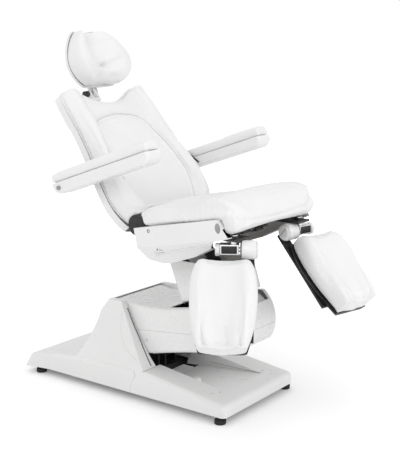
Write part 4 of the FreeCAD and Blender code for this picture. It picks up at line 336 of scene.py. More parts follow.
UPHOLSTERY = upholstery_finish()
SEAM_SHADE = seam_shade_finish()
BASE_SHELL = moulded_finish("base_shell", 0.79, 0.81, 0.3, 0.003)
ARM_SHELL = moulded_finish("arm_shell", 0.81, 0.83, 0.26, 0.003)
WHITE_SHELL = moulded_finish("white_shell", 0.81, 0.83, 0.2)
POWDER_COAT = powder_coat_finish()
MACHINED = machined_finish()
CHROME = chrome_finish()
BLACK = moulded_black_finish()
RUBBER = rubber_finish()
BRONZE = bronze_finish()
GREY_PLASTIC = grey_plastic_finish()
PLYWOOD = plywood_finish()

SLOT_FINISHES = {
    "abs_white": WHITE_SHELL, "upholstery": UPHOLSTERY, "frame_steel": POWDER_COAT,
    "plain_steel": MACHINED, "chrome": CHROME, "motor_black": BLACK, "rubber": RUBBER,
    "bronze": BRONZE, "grey_plastic": GREY_PLASTIC, "board": PLYWOOD,
}
NODE_FINISHES = {
    "headrest_post": WHITE_SHELL, "tower_cover": BASE_SHELL, "deck_cover": BASE_SHELL,
    "arm_upper_cover": ARM_SHELL, "arm_lower_cover": ARM_SHELL, "column_cover": ARM_SHELL,
}


def dress_frame():
    """Gives every node of the frame its finish."""
    for row in frame["record"]["subparts"]:
        node = nodes[row["node"]]
        finish = NODE_FINISHES.get(node.name, SLOT_FINISHES[row["material_slot"]])
        node.data.materials.clear()
        node.data.materials.append(finish)


dress_frame()


# The joints' places at rest, from the frame: X forward, Y to the left, Z up along each part

def place_of(x, y, z, yaw, pitch):
    """A place in the world, turned to the side and then tipped."""
    aside = Matrix.Rotation(math.radians(yaw), 4, "Z")
    tipped = Matrix.Rotation(math.radians(pitch), 4, "Y")
    return Matrix.Translation((x, y, z)) @ (aside @ tipped)


LIFT_ARM = place_of(-0.030, 0, 0.270, 0, -8.4)
SEAT = place_of(0.1696, 0, 0.59189, 0, -11)
BACK = place_of(0.09397, 0, 0.7137, 0, -35)
HEAD = place_of(-0.3608, 0, 1.1888, 0, -14)
ARMREST = {"right": place_of(-0.10472, -0.36, 0.87367, 0, -18.5),
           "left": place_of(-0.10472, 0.36, 0.87367, 0, -18.5)}
LEG = {"right": place_of(0.53, -0.227, 0.673, -57, -33),
       "left": place_of(0.53, 0.227, 0.673, -14, -46)}
LEG_BLOCK = {"right": place_of(0.53, -0.227, 0.673, -57, 0),
             "left": place_of(0.53, 0.227, 0.673, -14, 0)}
SIDES = {"right": -1, "left": 1}


# Making pieces

MERGE_DISTANCE = 0.00002
SPIN_MERGE = 0.00005
SHARP_ANGLE = math.radians(35)


def link_piece(name, bm):
    mesh = bpy.data.meshes.new(name)
    bm.to_mesh(mesh)
    bm.free()
    piece = bpy.data.objects.new(name, mesh)
    scene.collection.objects.link(piece)
    return piece


def finish_piece(piece, finish, body):
    piece.data.materials.clear()
    piece.data.materials.append(finish)
    for face in piece.data.polygons:
        face.use_smooth = True
    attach(piece, body)
    return piece


def add_piece(name, bm, home, finish, body):
    """A new piece from a bmesh drawn in the home place."""
    bmesh.ops.transform(bm, matrix=home, verts=bm.verts)
    bmesh.ops.recalc_face_normals(bm, faces=bm.faces)
    return finish_piece(link_piece(name, bm), finish, body)


def apply_modifiers(piece):
    """Turns what the modifiers make of the piece into its own mesh."""
    graph = bpy.context.evaluated_depsgraph_get()
    made = bpy.data.meshes.new_from_object(piece.evaluated_get(graph), depsgraph=graph)
    piece.modifiers.clear()
    piece.data = made


def node_bmesh(node):
    """A node's own surface with its doubled corners merged."""
    bm = bmesh.new()
    bm.from_mesh(nodes[node].data)
    bmesh.ops.remove_doubles(bm, verts=bm.verts, dist=MERGE_DISTANCE)
    return bm


def shape(piece, home, form):
    """Moves each point along its normal, by what the form gives for its place at home."""
    mesh = piece.data
    count = len(mesh.vertices) * 3
    points, normals = np.empty(count), np.empty(count)
    mesh.vertices.foreach_get("co", points)
    mesh.vertices.foreach_get("normal", normals)
    points, normals = points.reshape(-1, 3), normals.reshape(-1, 3)
    turn = np.array(home.to_3x3())
    local = (points - np.array(home.translation)) @ turn
    points += normals * form(local, normals @ turn)[:, None]
    mesh.vertices.foreach_set("co", points.ravel())
    mesh.update()


def bell(distance, width):
    return np.exp(-(distance / width) ** 2)


def rise(value, start, end):
    """Zero before start, one after end, and a smooth slope between."""
    share = np.clip((value - start) / (end - start), 0, 1)
    return share * share * (3 - 2 * share)


def line_distance(points, line):
    """How far each point is from a line of straight runs."""
    line = np.array(line, dtype=float)
    nearest = np.full(len(points), np.inf)
    for start, end in zip(line[:-1], line[1:]):
        run = end - start
        along = np.clip((points - start) @ run / (run @ run), 0, 1)
        gap = points - start - along[:, None] * run
        nearest = np.minimum(nearest, np.linalg.norm(gap, axis=1))
    return nearest


def both_sides(line):
    """The line and its mirror image across the chair."""
    return [line, [(x, -y, z) for x, y, z in line]]


# Padded pieces

PUFF_FRAMES = 20
CLOTH_PRESSURE = 4.0
CLOTH_QUALITY = 4
PAD_SINK = 0.0025


def blow_up(piece, cap):
    """Lets the cover swell over its foam, no further than the cap."""
    start = [v.co.copy() for v in piece.data.vertices]
    cloth = piece.modifiers.new("puff", "CLOTH")
    cloth.settings.use_pressure = True
    cloth.settings.uniform_pressure_force = CLOTH_PRESSURE
    cloth.settings.effector_weights.gravity = 0
    cloth.settings.quality = CLOTH_QUALITY
    cloth.point_cache.frame_start = 1
    cloth.point_cache.frame_end = PUFF_FRAMES
    for number in range(1, PUFF_FRAMES + 1):
        scene.frame_set(number)
    apply_modifiers(piece)
    for vertex, rest in zip(piece.data.vertices, start):
        move = vertex.co - rest
        if move.length > cap:
            vertex.co = rest + move.normalized() * cap


def make_pad(name, node, body, home, voxel, relax, cap, form):
    """A cushion in the form of its node: shrunk a little, swollen, then sewn."""
    piece = link_piece(name, node_bmesh(node))
    remesh = piece.modifiers.new("even", "REMESH")
    remesh.mode = "VOXEL"
    remesh.voxel_size = voxel
    apply_modifiers(piece)
    bm = bmesh.new()
    bm.from_mesh(piece.data)
    for _ in range(relax):
        bmesh.ops.smooth_vert(bm, verts=bm.verts, factor=0.5, use_axis_x=True,
                              use_axis_y=True, use_axis_z=True)
    bm.normal_update()
    for vertex in bm.verts:
        vertex.co -= vertex.normal * PAD_SINK
    bm.to_mesh(piece.data)
    bm.free()
    blow_up(piece, cap)
    finer = piece.modifiers.new("finer", "SUBSURF")
    finer.levels = finer.render_levels = 1
    apply_modifiers(piece)
    shape(piece, home, form)
    finish_piece(piece, UPHOLSTERY, body)
    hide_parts(node)
    return piece


# Half width of the back's sewn panel at each height above the recline hinge, from its middle
PANEL_MIDDLE = -0.018
PANEL_HEIGHTS = (0.05, 0.09, 0.14, 0.19, 0.25, 0.31, 0.37, 0.43, 0.458, 0.476, 0.490, 0.500)
PANEL_HALVES = (0.158, 0.180, 0.201, 0.211, 0.206, 0.198, 0.184, 0.167, 0.155, 0.132, 0.085, 0.0)
PANEL_SUNK, PANEL_EDGE = 0.009, 0.018
PANEL_GROOVE, PANEL_GROOVE_WIDTH = 0.0065, 0.0055
WRINKLE, WRINKLE_FROM_SEAM, WRINKLE_WIDTH = 0.0013, 0.022, 0.02
ROLL, ROLL_FROM_SEAM, ROLL_WIDTH, ROLL_HALF = 0.004, 0.032, 0.022, 0.27
WING_FOLD = [(0.018, -0.232, 0.325), (0.012, -0.205, 0.290), (0.008, -0.19, 0.262)]
WING_DEPTH, WING_WIDTH = 0.006, 0.007
BACK_END = 0.010


def panel_line():
    """The back panel's seam, from its lower right round the arched top to its lower left."""
    right = [(PANEL_MIDDLE - half, high) for high, half in zip(PANEL_HEIGHTS, PANEL_HALVES)]
    left = [(PANEL_MIDDLE + half, high) for high, half in zip(PANEL_HEIGHTS, PANEL_HALVES)][::-1]
    return right + left[1:] + [right[0]]


def back_form(local, facing):
    """Sewn panel sunk between the side rolls, with pulled wrinkles along its seam."""
    y, z = local[:, 1], local[:, 2]
    seam = line_distance(local[:, 1:], panel_line())
    half = np.interp(z, PANEL_HEIGHTS, PANEL_HALVES, left=0, right=0)
    inside = (np.abs(y - PANEL_MIDDLE) < half) & (z > PANEL_HEIGHTS[0])
    front = rise(facing[:, 0], 0.2, 0.6)
    sunk = -PANEL_SUNK * rise(seam, 0, PANEL_EDGE) * inside
    groove = -PANEL_GROOVE * bell(seam, PANEL_GROOVE_WIDTH)
    pulled = np.sin(290 * z + 60 * np.abs(y) + 2.2 * np.sin(70 * z))
    drawn = bell(seam - WRINKLE_FROM_SEAM, WRINKLE_WIDTH)
    wrinkles = WRINKLE * pulled * drawn * inside * rise(z, 0.2, 0.3)
    roll = ROLL * bell(seam - ROLL_FROM_SEAM, ROLL_WIDTH) * ~inside * (np.abs(y) < ROLL_HALF)
    wings = [line_distance(local, line) for line in both_sides(WING_FOLD)]
    fold = -WING_DEPTH * bell(np.minimum(*wings), WING_WIDTH)
    end = BACK_END * rise(-facing[:, 2], 0.4, 0.9)
    return front * (sunk + groove + wrinkles + roll + fold) + end


SEAT_VALLEY = [(0.22, -0.282, 0.166), (0.266, -0.283, 0.165), (0.316, -0.287, 0.172),
               (0.362, -0.288, 0.174), (0.412, -0.284, 0.156), (0.428, -0.262, 0.140),
               (0.432, -0.23, 0.120), (0.432, -0.213, 0.108)]
SEAT_FRONT_CREASE = [(0.432, -0.213, 0.108), (0.430, -0.055, 0.100), (0.430, 0.055, 0.100),
                     (0.432, 0.213, 0.108)]
VALLEY_DEPTH, VALLEY_WIDTH = 0.008, 0.012
VALLEY_LIP, VALLEY_LIP_AWAY, VALLEY_LIP_WIDTH = 0.003, 0.03, 0.014
DISH, DISH_MIDDLE, DISH_LONG, DISH_WIDE = 0.006, 0.16, 0.09, 0.15
CREASE_DEPTH, CREASE_WIDTH = 0.0035, 0.006
CREASE_LIP, CREASE_LIP_AWAY, CREASE_LIP_WIDTH = 0.002, 0.016, 0.01
DRAWN, DRAWN_AWAY, DRAWN_WIDTH = 0.0008, 0.02, 0.03
SEAT_HEEL = 0.005


def seat_form(local, facing):
    """Fold where each side roll runs into the raised front, and the creased apron."""
    valley = np.minimum(*[line_distance(local, line) for line in both_sides(SEAT_VALLEY)])
    crease = line_distance(local, SEAT_FRONT_CREASE)
    x, y, z = local.T
    fold = (-VALLEY_DEPTH * bell(valley, VALLEY_WIDTH)
            + VALLEY_LIP * bell(valley - VALLEY_LIP_AWAY, VALLEY_LIP_WIDTH))
    top = rise(facing[:, 2], 0.5, 0.9)
    dish = -DISH * bell(x - DISH_MIDDLE, DISH_LONG) * bell(y, DISH_WIDE) * top
    apron = (-CREASE_DEPTH * bell(crease, CREASE_WIDTH)
             + CREASE_LIP * bell(crease - CREASE_LIP_AWAY, CREASE_LIP_WIDTH))
    drawn = DRAWN * np.sin(240 * x + 90 * y) * bell(valley - DRAWN_AWAY, DRAWN_WIDTH)
    heel = SEAT_HEEL * rise(-facing[:, 0], 0.4, 0.9)
    return fold + dish + apron + drawn + heel


HEAD_FOLD = [(-0.05, 0.088), (-0.02, 0.092), (0.012, 0.098), (0.05, 0.110), (0.085, 0.122)]
HEAD_SEAM_X, HEAD_SEAM_DEPTH, HEAD_SEAM_WIDTH = 0.038, 0.003, 0.003
PINCH_Y, PINCH_Z, PINCH_SPREAD = 0.004, 0.096, 1.5
HOLLOW, HOLLOW_Y, HOLLOW_WIDTH = 0.020, -0.03, 0.055
DENT, DENT_WIDTH = 0.016, 0.012
DENT_ROUND, DENT_ROUND_WIDTH = 0.012, 0.03
HEAD_FOLD_DEPTH, HEAD_FOLD_WIDTH = 0.006, 0.011


def head_form(local, facing):
    """A hollow, a deep pinched dent with its fold, and the seam of the side band."""
    x, y, z = local.T
    front = rise(facing[:, 0], 0.1, 0.6)
    fold = line_distance(local[:, 1:], HEAD_FOLD)
    pinch = np.hypot((y - PINCH_Y) / PINCH_SPREAD, z - PINCH_Z)
    upper = rise(z, 0.06, 0.17) * (1 - rise(z, 0.18, 0.235))
    hollow = -HOLLOW * bell(y - HOLLOW_Y, HOLLOW_WIDTH) * upper
    dent = (-DENT * bell(pinch, DENT_WIDTH) - DENT_ROUND * bell(pinch, DENT_ROUND_WIDTH)
            - HEAD_FOLD_DEPTH * bell(fold, HEAD_FOLD_WIDTH))
    band = 1 - rise(facing[:, 0], 0.6, 0.9)
    seam = -HEAD_SEAM_DEPTH * bell(x - HEAD_SEAM_X, HEAD_SEAM_WIDTH) * band
    return front * (hollow + dent) + seam


ARMREST_LOW_Z, ARMREST_TOP_Z = 0.026, 0.056
ARMREST_CROWN, ARMREST_CROWN_WIDTH = 0.0015, 0.03


def armrest_form(local, facing):
    """Box pad with a slightly crowned top."""
    y, z = local[:, 1], local[:, 2]
    crown = ARMREST_CROWN * rise(facing[:, 2], 0.6, 1.0) * bell(y, ARMREST_CROWN_WIDTH)
    return crown * rise(z, ARMREST_LOW_Z, ARMREST_TOP_Z)


LEG_GROOVES = [[(-0.106, -0.16), (-0.105, -0.264), (-0.101, -0.346), (-0.090, -0.376)],
               [(0.034, -0.19), (0.031, -0.296), (0.028, -0.376)]]
LEG_CREASE = [(-0.024, -0.30), (-0.012, -0.37)]
LEG_MIDDLE = -0.034
LEG_GROOVE, LEG_GROOVE_WIDTH, LEG_GROOVE_TOP = 0.012, 0.009, 0.1
LEG_PLEAT, LEG_PLEAT_WIDTH = 0.005, 0.006
LEG_RIDGE, LEG_RIDGE_AWAY, LEG_RIDGE_WIDTH = 0.004, 0.022, 0.013
LEG_TROUGH, LEG_TROUGH_WIDTH = 0.006, 0.05
LEG_END, LEG_KEEL, LEG_KEEL_WIDTH = 0.003, 0.010, 0.08


def leg_form(side):
    """The trough of one leg rest: grooves beside it that deepen to its foot, and a crease."""
    sign = -SIDES[side]

    def form(local, facing):
        y, z = local[:, 1] * sign, local[:, 2]
        flat = np.stack([y, z], axis=1)
        front = rise(facing[:, 0], 0.3, 0.8)
        near = np.minimum(*[line_distance(flat, line) for line in LEG_GROOVES])
        deep = rise(-z, 0.16, 0.37)
        groove = -LEG_GROOVE * bell(near, LEG_GROOVE_WIDTH) * (LEG_GROOVE_TOP + deep)
        pleat = -LEG_PLEAT * bell(line_distance(flat, LEG_CREASE), LEG_PLEAT_WIDTH)
        ridge = LEG_RIDGE * bell(near - LEG_RIDGE_AWAY, LEG_RIDGE_WIDTH) * deep
        trough = -LEG_TROUGH * bell(y - LEG_MIDDLE, LEG_TROUGH_WIDTH) * deep
        end = rise(-facing[:, 2], 0.4, 0.9)
        tip = np.clip(1 - np.abs(y - LEG_MIDDLE) / LEG_KEEL_WIDTH, 0, 1)
        keel = (LEG_END + LEG_KEEL * tip) * end
        return front * (groove + trough + pleat + ridge) + keel

    return form


HEAD_LEAN = 0.032
HEAD_MIDDLE = 0.115
HEAD_TOP = 0.25


def lean_head(piece):
    """Leans the headrest's outline: its chin to its left side, its top to its right."""
    side = HEAD.to_3x3() @ Vector((0, 1, 0))
    back_home = HEAD.inverted()
    for vertex in piece.data.vertices:
        high = (back_home @ vertex.co).z
        vertex.co += side * HEAD_LEAN * (HEAD_MIDDLE - min(max(high, 0), HEAD_TOP)) / HEAD_TOP


# Each pad: name, the node it stands for, body, place, size of its cells, rounds of smoothing,
# the most that it swells, and its form
PADS = [("seat_pad", "seat_cushion", "seat", SEAT, 0.006, 3, 0.008, seat_form),
        ("back_pad", "back_cushion", "back", BACK, 0.006, 5, 0.006, back_form),
        ("head_pad", "headrest_cushion", "headrest", HEAD, 0.0045, 4, 0.008, head_form)]
for side_name in SIDES:
    PADS.append((f"armrest_top_{side_name}", f"armrest_pad_{side_name}", f"armrest_{side_name}",
                 ARMREST[side_name], 0.004, 2, 0.003, armrest_form))
    PADS.append((f"leg_pad_{side_name}", f"leg_cushion_{side_name}", f"leg_rest_{side_name}",
                 LEG[side_name], 0.005, 3, 0.006, leg_form(side_name)))
pads = {row[0]: make_pad(*row) for row in PADS}
lean_head(pads["head_pad"])


# Seams, laid on their pads

SEAM_SUNK = 0.0004
STRIP_SIDES = 8
SMOOTH_ROUNDS = 3


def tree_of(piece):
    """The piece's surface, for finding the nearest place on it."""
    return BVHTree.FromPolygons([v.co for v in piece.data.vertices],
                                [tuple(f.vertices) for f in piece.data.polygons])


def tube(name, points, radius, finish, body):
    """A round strip of one radius along points given in the world."""
    points = [Vector(p) for p in points]
    bm = bmesh.new()
    rings = []
    for before, point, after in zip([points[0]] + points, points, points[1:] + [points[-1]]):
        turn = (after - before).to_track_quat("Z", "Y").to_matrix().to_4x4()
        made = bmesh.ops.create_circle(bm, segments=STRIP_SIDES, radius=radius,
                                       matrix=Matrix.Translation(point) @ turn)
        rings.append(made["verts"])
    for first, second in zip(rings, rings[1:]):
        join_rings(bm, first, second)
    for end in (rings[0], rings[-1]):
        bm.faces.new(end)
    bmesh.ops.recalc_face_normals(bm, faces=bm.faces)
    return finish_piece(link_piece(name, bm), finish, body)


def join_rings(bm, first, second):
    """Bridges two rings with the corners that lie nearest to each other."""
    edges = [e for ring in (first, second) for v in ring for e in v.link_edges
             if e.other_vert(v) in ring]
    bmesh.ops.bridge_loops(bm, edges=list(dict.fromkeys(edges)))


def smooth_line(line, steps):
    """More points along a line, rounded at its corners, ends kept."""
    points = [np.array(p, dtype=float) for p in line]
    spans = np.cumsum([0] + [np.linalg.norm(b - a) for a, b in zip(points, points[1:])])
    wanted = np.linspace(0, spans[-1], steps)
    even = np.stack([np.interp(wanted, spans, [p[i] for p in points])
                     for i in range(len(points[0]))], axis=1)
    for _ in range(SMOOTH_ROUNDS):
        even[1:-1] = (even[:-2] + even[1:-1] * 2 + even[2:]) / 4
    return even


def laid_on(surface, line, steps, sunk):
    """Points along the line, brought to the nearest place on the surface."""
    points = []
    for point in smooth_line(line, steps):
        place, normal, _, _ = surface.find_nearest(Vector(point))
        points.append(place - normal * sunk)
    return points


PANEL_SEAM_RADIUS = 0.0012
PANEL_SEAM_STEPS, PANEL_LINE_STEPS = 140, 90
AHEAD_OF_BACK = 0.3


def make_panel_seam():
    """The sewn fold round the back's panel, found on the pad from straight ahead."""
    surface = tree_of(pads["back_pad"])
    inwards = BACK.to_3x3() @ Vector((-1, 0, 0))
    line = []
    for y, z in smooth_line(panel_line()[:-1], PANEL_LINE_STEPS):
        place, _, _, _ = surface.ray_cast(BACK @ Vector((AHEAD_OF_BACK, y, z)), inwards)
        line.append(place)
    points = laid_on(surface, line, PANEL_SEAM_STEPS, SEAM_SUNK)
    # The tube's dark colour is painted shade in the seam's fold.
    tube("back_panel_seam", points, PANEL_SEAM_RADIUS, SEAM_SHADE, "back")


make_panel_seam()


# Small parts

def rounded_box(bm, low, high, radius, segments=2):
    """A box between two corners with its edges rounded."""
    low, high = Vector(low), Vector(high)
    made = bmesh.ops.create_cube(bm, size=1, matrix=Matrix.Translation((low + high) / 2)
                                 @ Matrix.Diagonal((*(high - low), 1)))
    edges = list({e for v in made["verts"] for e in v.link_edges})
    bmesh.ops.bevel(bm, geom=edges, offset=radius, offset_type="OFFSET", segments=segments,
                    profile=0.5, affect="EDGES", clamp_overlap=True, material=-1)


def turned(bm, profile, axis_from, axis, steps=40):
    """Spins a profile of (along, radius) points round an axis."""
    axis = Vector(axis).normalized()
    side = axis.orthogonal().normalized()
    verts = [bm.verts.new(Vector(axis_from) + axis * along + side * radius)
             for along, radius in profile]
    edges = [bm.edges.new(pair) for pair in zip(verts, verts[1:])]
    bmesh.ops.spin(bm, geom=verts + edges, cent=axis_from, axis=axis, angle=math.tau, steps=steps,
                   use_merge=True)
    bmesh.ops.remove_doubles(bm, verts=bm.verts, dist=SPIN_MERGE)


RIM_STEPS = 4


def barrel_profile(half, radius, round_off, dome=0.0):
    """Drum from end to end with rounded rims, closed on its axis."""
    points = [(-half - dome, 0.0), (-half - dome * 0.8, radius * 0.45),
              (-half, radius - round_off)]
    for step in range(1, RIM_STEPS + 1):
        turn = math.radians(90 * step / RIM_STEPS)
        points.append((-half + round_off * (1 - math.cos(turn)),
                       radius - round_off * (1 - math.sin(turn))))
    return points + [(-along, size) for along, size in reversed(points)]


# Along each leg rest's own sideways line, from its swivel
KNEE_MIDDLE, KNEE_HALF, KNEE_RADIUS, KNEE_ROUND, KNEE_DOME = 0.0545, 0.0310, 0.0345, 0.010, 0.0015
KNEE_END_PLACE, KNEE_END_HALF, KNEE_END_RADIUS, KNEE_END_ROUND = 0.0868, 0.0016, 0.0262, 0.0012
KNEE_SLOT_FROM, KNEE_SLOT_TO = 0.0880, 0.0893
KNEE_SLOT_LONG, KNEE_SLOT_WIDE, KNEE_SLOT_ROUND = 0.0215, 0.0016, 0.0005


def make_knee_covers():
    """White covers over the barrels that the leg rests tilt on, with pale slotted ends."""
    for side, sign in SIDES.items():
        home, body = LEG[side], f"leg_rest_{side}"
        bm = bmesh.new()
        turned(bm, barrel_profile(KNEE_HALF, KNEE_RADIUS, KNEE_ROUND, KNEE_DOME),
               (0, -sign * KNEE_MIDDLE, 0), (0, 1, 0))
        add_piece(f"knee_cover_{side}", bm, home, WHITE_SHELL, body)
        bm = bmesh.new()
        turned(bm, barrel_profile(KNEE_END_HALF, KNEE_END_RADIUS, KNEE_END_ROUND),
               (0, -sign * KNEE_END_PLACE, 0), (0, 1, 0))
        add_piece(f"knee_end_{side}", bm, home, ARM_SHELL, body)
        bm = bmesh.new()
        near, far = sorted((-sign * KNEE_SLOT_FROM, -sign * KNEE_SLOT_TO))
        rounded_box(bm, (-KNEE_SLOT_LONG, near, -KNEE_SLOT_WIDE),
                    (KNEE_SLOT_LONG, far, KNEE_SLOT_WIDE), KNEE_SLOT_ROUND, 1)
        add_piece(f"knee_slot_{side}", bm, home, GREY_PLASTIC, body)


GRIP_INNER, GRIP_OUTER, GRIP_ROUND = 0.012, 0.044, 0.0012
GRIP_BACK, GRIP_FACE = 0.0195, 0.0232
GRIP_LOW, GRIP_HIGH = -0.0115, 0.0165
RIBS, RIB_BACK, RIB_FACE, RIB_HALF, RIB_ROUND = 9, 0.0222, 0.0243, 0.0016, 0.0006
RIB_LOW, RIB_HIGH = -0.009, 0.014


def make_clamp_grips():
    """Black ribbed grips set in the chrome swivel blocks."""
    for side, sign in SIDES.items():
        near, far = sorted((sign * GRIP_OUTER, -sign * GRIP_INNER))
        bm = bmesh.new()
        rounded_box(bm, (GRIP_BACK, near, GRIP_LOW), (GRIP_FACE, far, GRIP_HIGH), GRIP_ROUND)
        for index in range(RIBS):
            middle = near + (far - near) * (index + 0.5) / RIBS
            rounded_box(bm, (RIB_BACK, middle - RIB_HALF, RIB_LOW),
                        (RIB_FACE, middle + RIB_HALF, RIB_HIGH), RIB_ROUND, 1)
        add_piece(f"clamp_grip_{side}", bm, LEG_BLOCK[side], BLACK, f"leg_block_{side}")


# Black strips of painted shade for the dark gap where the armrests meet the back
SHADE_STRIP_INNER, SHADE_STRIP_FACE, SHADE_STRIP_HALF, SHADE_STRIP_ROUND = 0.0425, 0.0462, 0.0035, 0.0012
SHADE_STRIP_LOW, SHADE_STRIP_HIGH = -0.052, 0.046
SHADE_STRIP_PLACE, SHADE_STRIP_LEAN = (0.043, 0, 0.034), -40


def make_armrest_shade_strips():
    """Black strips of painted shade on the inner sides of the armrests, for the dark gap beside
    the back.
    """
    lean = Matrix.Rotation(math.radians(SHADE_STRIP_LEAN), 4, "Y")
    for side, sign in SIDES.items():
        near, far = sorted((-sign * SHADE_STRIP_INNER, -sign * SHADE_STRIP_FACE))
        bm = bmesh.new()
        rounded_box(bm, (-SHADE_STRIP_HALF, near, SHADE_STRIP_LOW), (SHADE_STRIP_HALF, far, SHADE_STRIP_HIGH),
                    SHADE_STRIP_ROUND)
        bmesh.ops.transform(bm, matrix=Matrix.Translation(SHADE_STRIP_PLACE) @ lean, verts=bm.verts)
        add_piece(f"armrest_shade_strip_{side}", bm, ARMREST[side], BLACK, f"armrest_{side}")


PEG_PLACE = (-0.101, 0, 0.050)
PEG_HALF, PEG_RADIUS, PEG_ROUND, PEG_STEPS = 0.009, 0.0072, 0.002, 24


def make_armrest_pegs():
    """Grey pegs at the rear ends of the armrests."""
    for side in SIDES:
        bm = bmesh.new()
        turned(bm, barrel_profile(PEG_HALF, PEG_RADIUS, PEG_ROUND), PEG_PLACE, (1, 0, 0),
               PEG_STEPS)
        add_piece(f"armrest_peg_{side}", bm, ARMREST[side], GREY_PLASTIC, f"armrest_{side}")


MARK_DEPTH, MARK_STEPS = 0.0012, 20


def make_round_mark(name, centre, aside, radius, home, finish, body):
    """A screw or a plug: a turned disc with a socket, flush with the shell it sits in."""
    profile = [(-MARK_DEPTH, 0.0), (-MARK_DEPTH, radius * 0.55), (0, radius * 0.6),
               (MARK_DEPTH * 0.3, radius * 0.9), (0, radius), (-MARK_DEPTH * 2, radius),
               (-MARK_DEPTH * 2, 0.0)]
    bm = bmesh.new()
    turned(bm, profile, centre, (0, aside, 0), MARK_STEPS)
    add_piece(name, bm, home, finish, body)


SIDE_PLUG, SIDE_PLUG_RADIUS = (0.036, 0.2872, 0.112), 0.0065
ARM_SCREW, ARM_SCREW_RADIUS = (0.077, 0.1482, -0.059), 0.005
# The side cover's recess, shown as a grey oval of painted shade
RECESS_X, RECESS_Y, RECESS_Z = 0.357, 0.2870, 0.097
RECESS_HALF, RECESS_RADIUS, RECESS_ROUND = 0.0012, 0.0115, 0.001
RECESS_STRETCH, RECESS_STEPS = 1.6, 32


def make_marks():
    """Screws of the covers, and a flat grey oval of painted shade for the recess at the front of
    each side cover.
    """
    for side, sign in SIDES.items():
        x, y, z = SIDE_PLUG
        make_round_mark(f"side_plug_{side}", (x, sign * y, z), sign, SIDE_PLUG_RADIUS, SEAT,
                        BLACK, "seat")
        x, y, z = ARM_SCREW
        make_round_mark(f"arm_screw_{side}", (x, sign * y, z), sign, ARM_SCREW_RADIUS, LIFT_ARM,
                        MACHINED, "lift_arm")
        # A flat grey oval, painted shade for the recess in the side cover.
        bm = bmesh.new()
        turned(bm, barrel_profile(RECESS_HALF, RECESS_RADIUS, RECESS_ROUND), (0, 0, 0),
               (0, 1, 0), RECESS_STEPS)
        oval = (Matrix.Translation((RECESS_X, sign * RECESS_Y, RECESS_Z))
                @ Matrix.Diagonal((1, 1, RECESS_STRETCH, 1)))
        bmesh.ops.transform(bm, matrix=oval, verts=bm.verts)
        add_piece(f"side_recess_shade_{side}", bm, SEAT, GREY_PLASTIC, "seat")


# Strips on the covers: the leaf on each cheek of the tower, a black strip of painted shade for
# the gap ahead of it, the ridges of the side covers and a grey strip of painted shade for the
# crease on the deck

CHEEK_LINE = [(-0.046, -0.159, 0.363), (-0.047, -0.182, 0.335), (-0.050, -0.186, 0.297),
              (-0.050, -0.193, 0.257), (-0.033, -0.201, 0.220), (-0.005, -0.210, 0.190),
              (0.040, -0.219, 0.164), (0.089, -0.222, 0.142)]
CHEEK_GAP_SHADE = [(-0.024, -0.159, 0.350), (-0.005, -0.159, 0.300), (0.022, -0.159, 0.233),
             (0.059, -0.167, 0.179), (0.098, -0.177, 0.131)]
# Where the deck's crease lies, for its grey strip of painted shade
DECK_SHADE_LINE = [(0.17, 0.1265, 0.0775), (0.30, 0.1265, 0.0795), (0.42, 0.1265, 0.0815)]
RIM_RADIUS, RIM_SUNK, GAP_RADIUS = 0.0024, 0.0004, 0.0020
DECK_SHADE_RADIUS, RIDGE_RADIUS = 0.0010, 0.0026
CHEEK_STEPS, DECK_SHADE_STEPS, RIDGE_STEPS = 60, 30, 40
RIDGE_PLACES, RIDGE_Y, RIDGE_SLOPE = (0.04, 0.12, 0.20, 0.28, 0.33), 0.288, 0.105
RIDGE_HEIGHTS = (0.001, 0.013)


def lay_strip(name, node, line, radius, finish, steps, body="base", sunk=0.0):
    """A strip along the line, laid on the surface of a CAD node."""
    points = laid_on(tree_of(nodes[node]), line, steps, sunk)
    tube(name, smooth_line(points, steps), radius, finish, body)


def make_base_lines():
    """The cheeks' leaves, black strips of painted shade for the gaps ahead of them, and a grey
    strip of painted shade for the crease on the deck.
    """
    # Grey strip of painted shade along the crease on the deck.
    lay_strip("deck_crease_shade", "deck_cover", DECK_SHADE_LINE, DECK_SHADE_RADIUS, GREY_PLASTIC,
              DECK_SHADE_STEPS)
    for line, side in zip(both_sides(CHEEK_LINE), SIDES):
        lay_strip(f"cheek_rim_{side}", "tower_cover", line, RIM_RADIUS, BASE_SHELL,
                  CHEEK_STEPS, sunk=RIM_SUNK)
    # Black strips in the rubber finish, laid on the cheeks as painted shade for the gaps ahead of
    # the leaves.
    for line, side in zip(both_sides(CHEEK_GAP_SHADE), SIDES):
        lay_strip(f"cheek_gap_shade_{side}", "tower_cover", line, GAP_RADIUS, RUBBER,
                  CHEEK_STEPS)


def make_side_ridges():
    """Two moulded ridges along the lower edge of each side cover."""
    for side, sign in SIDES.items():
        for index, low in enumerate(RIDGE_HEIGHTS):
            line = [SEAT @ Vector((x, sign * RIDGE_Y, low + RIDGE_SLOPE * x))
                    for x in RIDGE_PLACES]
            lay_strip(f"side_ridge_{side}_{index + 1}", f"side_cover_{side}", line,
                      RIDGE_RADIUS, WHITE_SHELL, RIDGE_STEPS, "seat")


# The column turns on this pin at the arm's end
SHUTTER_PIN = (0.375602, 0, 0.329894)
SHUTTER_RADIUS, SHUTTER_THICK, SHUTTER_HALF = 0.098, 0.003, 0.117
SHUTTER_FROM, SHUTTER_TO, SHUTTER_STEPS = -78, 64, 36


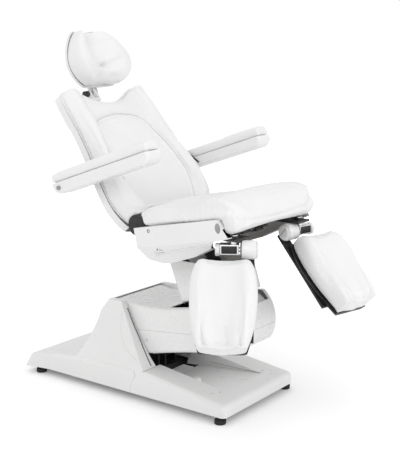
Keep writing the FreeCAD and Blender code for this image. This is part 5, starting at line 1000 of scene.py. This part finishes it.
def make_column_shutter():
    """Round shutter on the column's foot, under the slot in the arm's cover."""
    inner = SHUTTER_RADIUS - SHUTTER_THICK
    corners = [(SHUTTER_RADIUS, -SHUTTER_HALF), (SHUTTER_RADIUS, SHUTTER_HALF),
               (inner, SHUTTER_HALF), (inner, -SHUTTER_HALF)]
    start = Matrix.Rotation(math.radians(SHUTTER_FROM), 4, "Y")
    bm = bmesh.new()
    ring = [bm.verts.new(start @ Vector((0, y, radius))) for radius, y in corners]
    first = bm.faces.new(ring)
    bmesh.ops.spin(bm, geom=ring + first.edges[:] + [first], cent=(0, 0, 0), axis=(0, 1, 0),
                   angle=math.radians(SHUTTER_TO - SHUTTER_FROM), steps=SHUTTER_STEPS)
    piece = add_piece("column_shutter", bm, Matrix.Translation(SHUTTER_PIN), ARM_SHELL,
                      "column")
    piece.data.set_sharp_from_angle(angle=SHARP_ANGLE)


# The rear part of the back's cushion, behind this plane, that meets the shell
WELT_X = -0.043
CUT_DISTANCE = 0.00001


def make_back_welt():
    """Sewn welt that closes the joint between the back's pad and its shell."""
    bm = node_bmesh("back_cushion")
    bmesh.ops.bisect_plane(bm, geom=bm.verts[:] + bm.edges[:] + bm.faces[:], dist=CUT_DISTANCE,
                           plane_co=BACK @ Vector((WELT_X, 0, 0)),
                           plane_no=BACK.to_3x3() @ Vector((-1, 0, 0)), clear_inner=True)
    edges = [e for e in bm.edges if len(e.link_faces) == 1]
    bmesh.ops.holes_fill(bm, edges=edges, sides=0)
    piece = link_piece("back_welt", bm)
    finish_piece(piece, UPHOLSTERY, "back")
    piece.data.set_sharp_from_angle(angle=SHARP_ANGLE)


def make_head_shell():
    """The headrest's shell, leaning with its pad."""
    piece = link_piece("head_shell", node_bmesh("headrest_shell"))
    finish_piece(piece, WHITE_SHELL, "headrest")
    piece.data.set_sharp_from_angle(angle=SHARP_ANGLE)
    lean_head(piece)
    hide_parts("headrest_shell")


make_knee_covers()
make_clamp_grips()
make_side_ridges()
make_column_shutter()
make_armrest_shade_strips()
make_armrest_pegs()
make_marks()
make_base_lines()
make_back_welt()
make_head_shell()
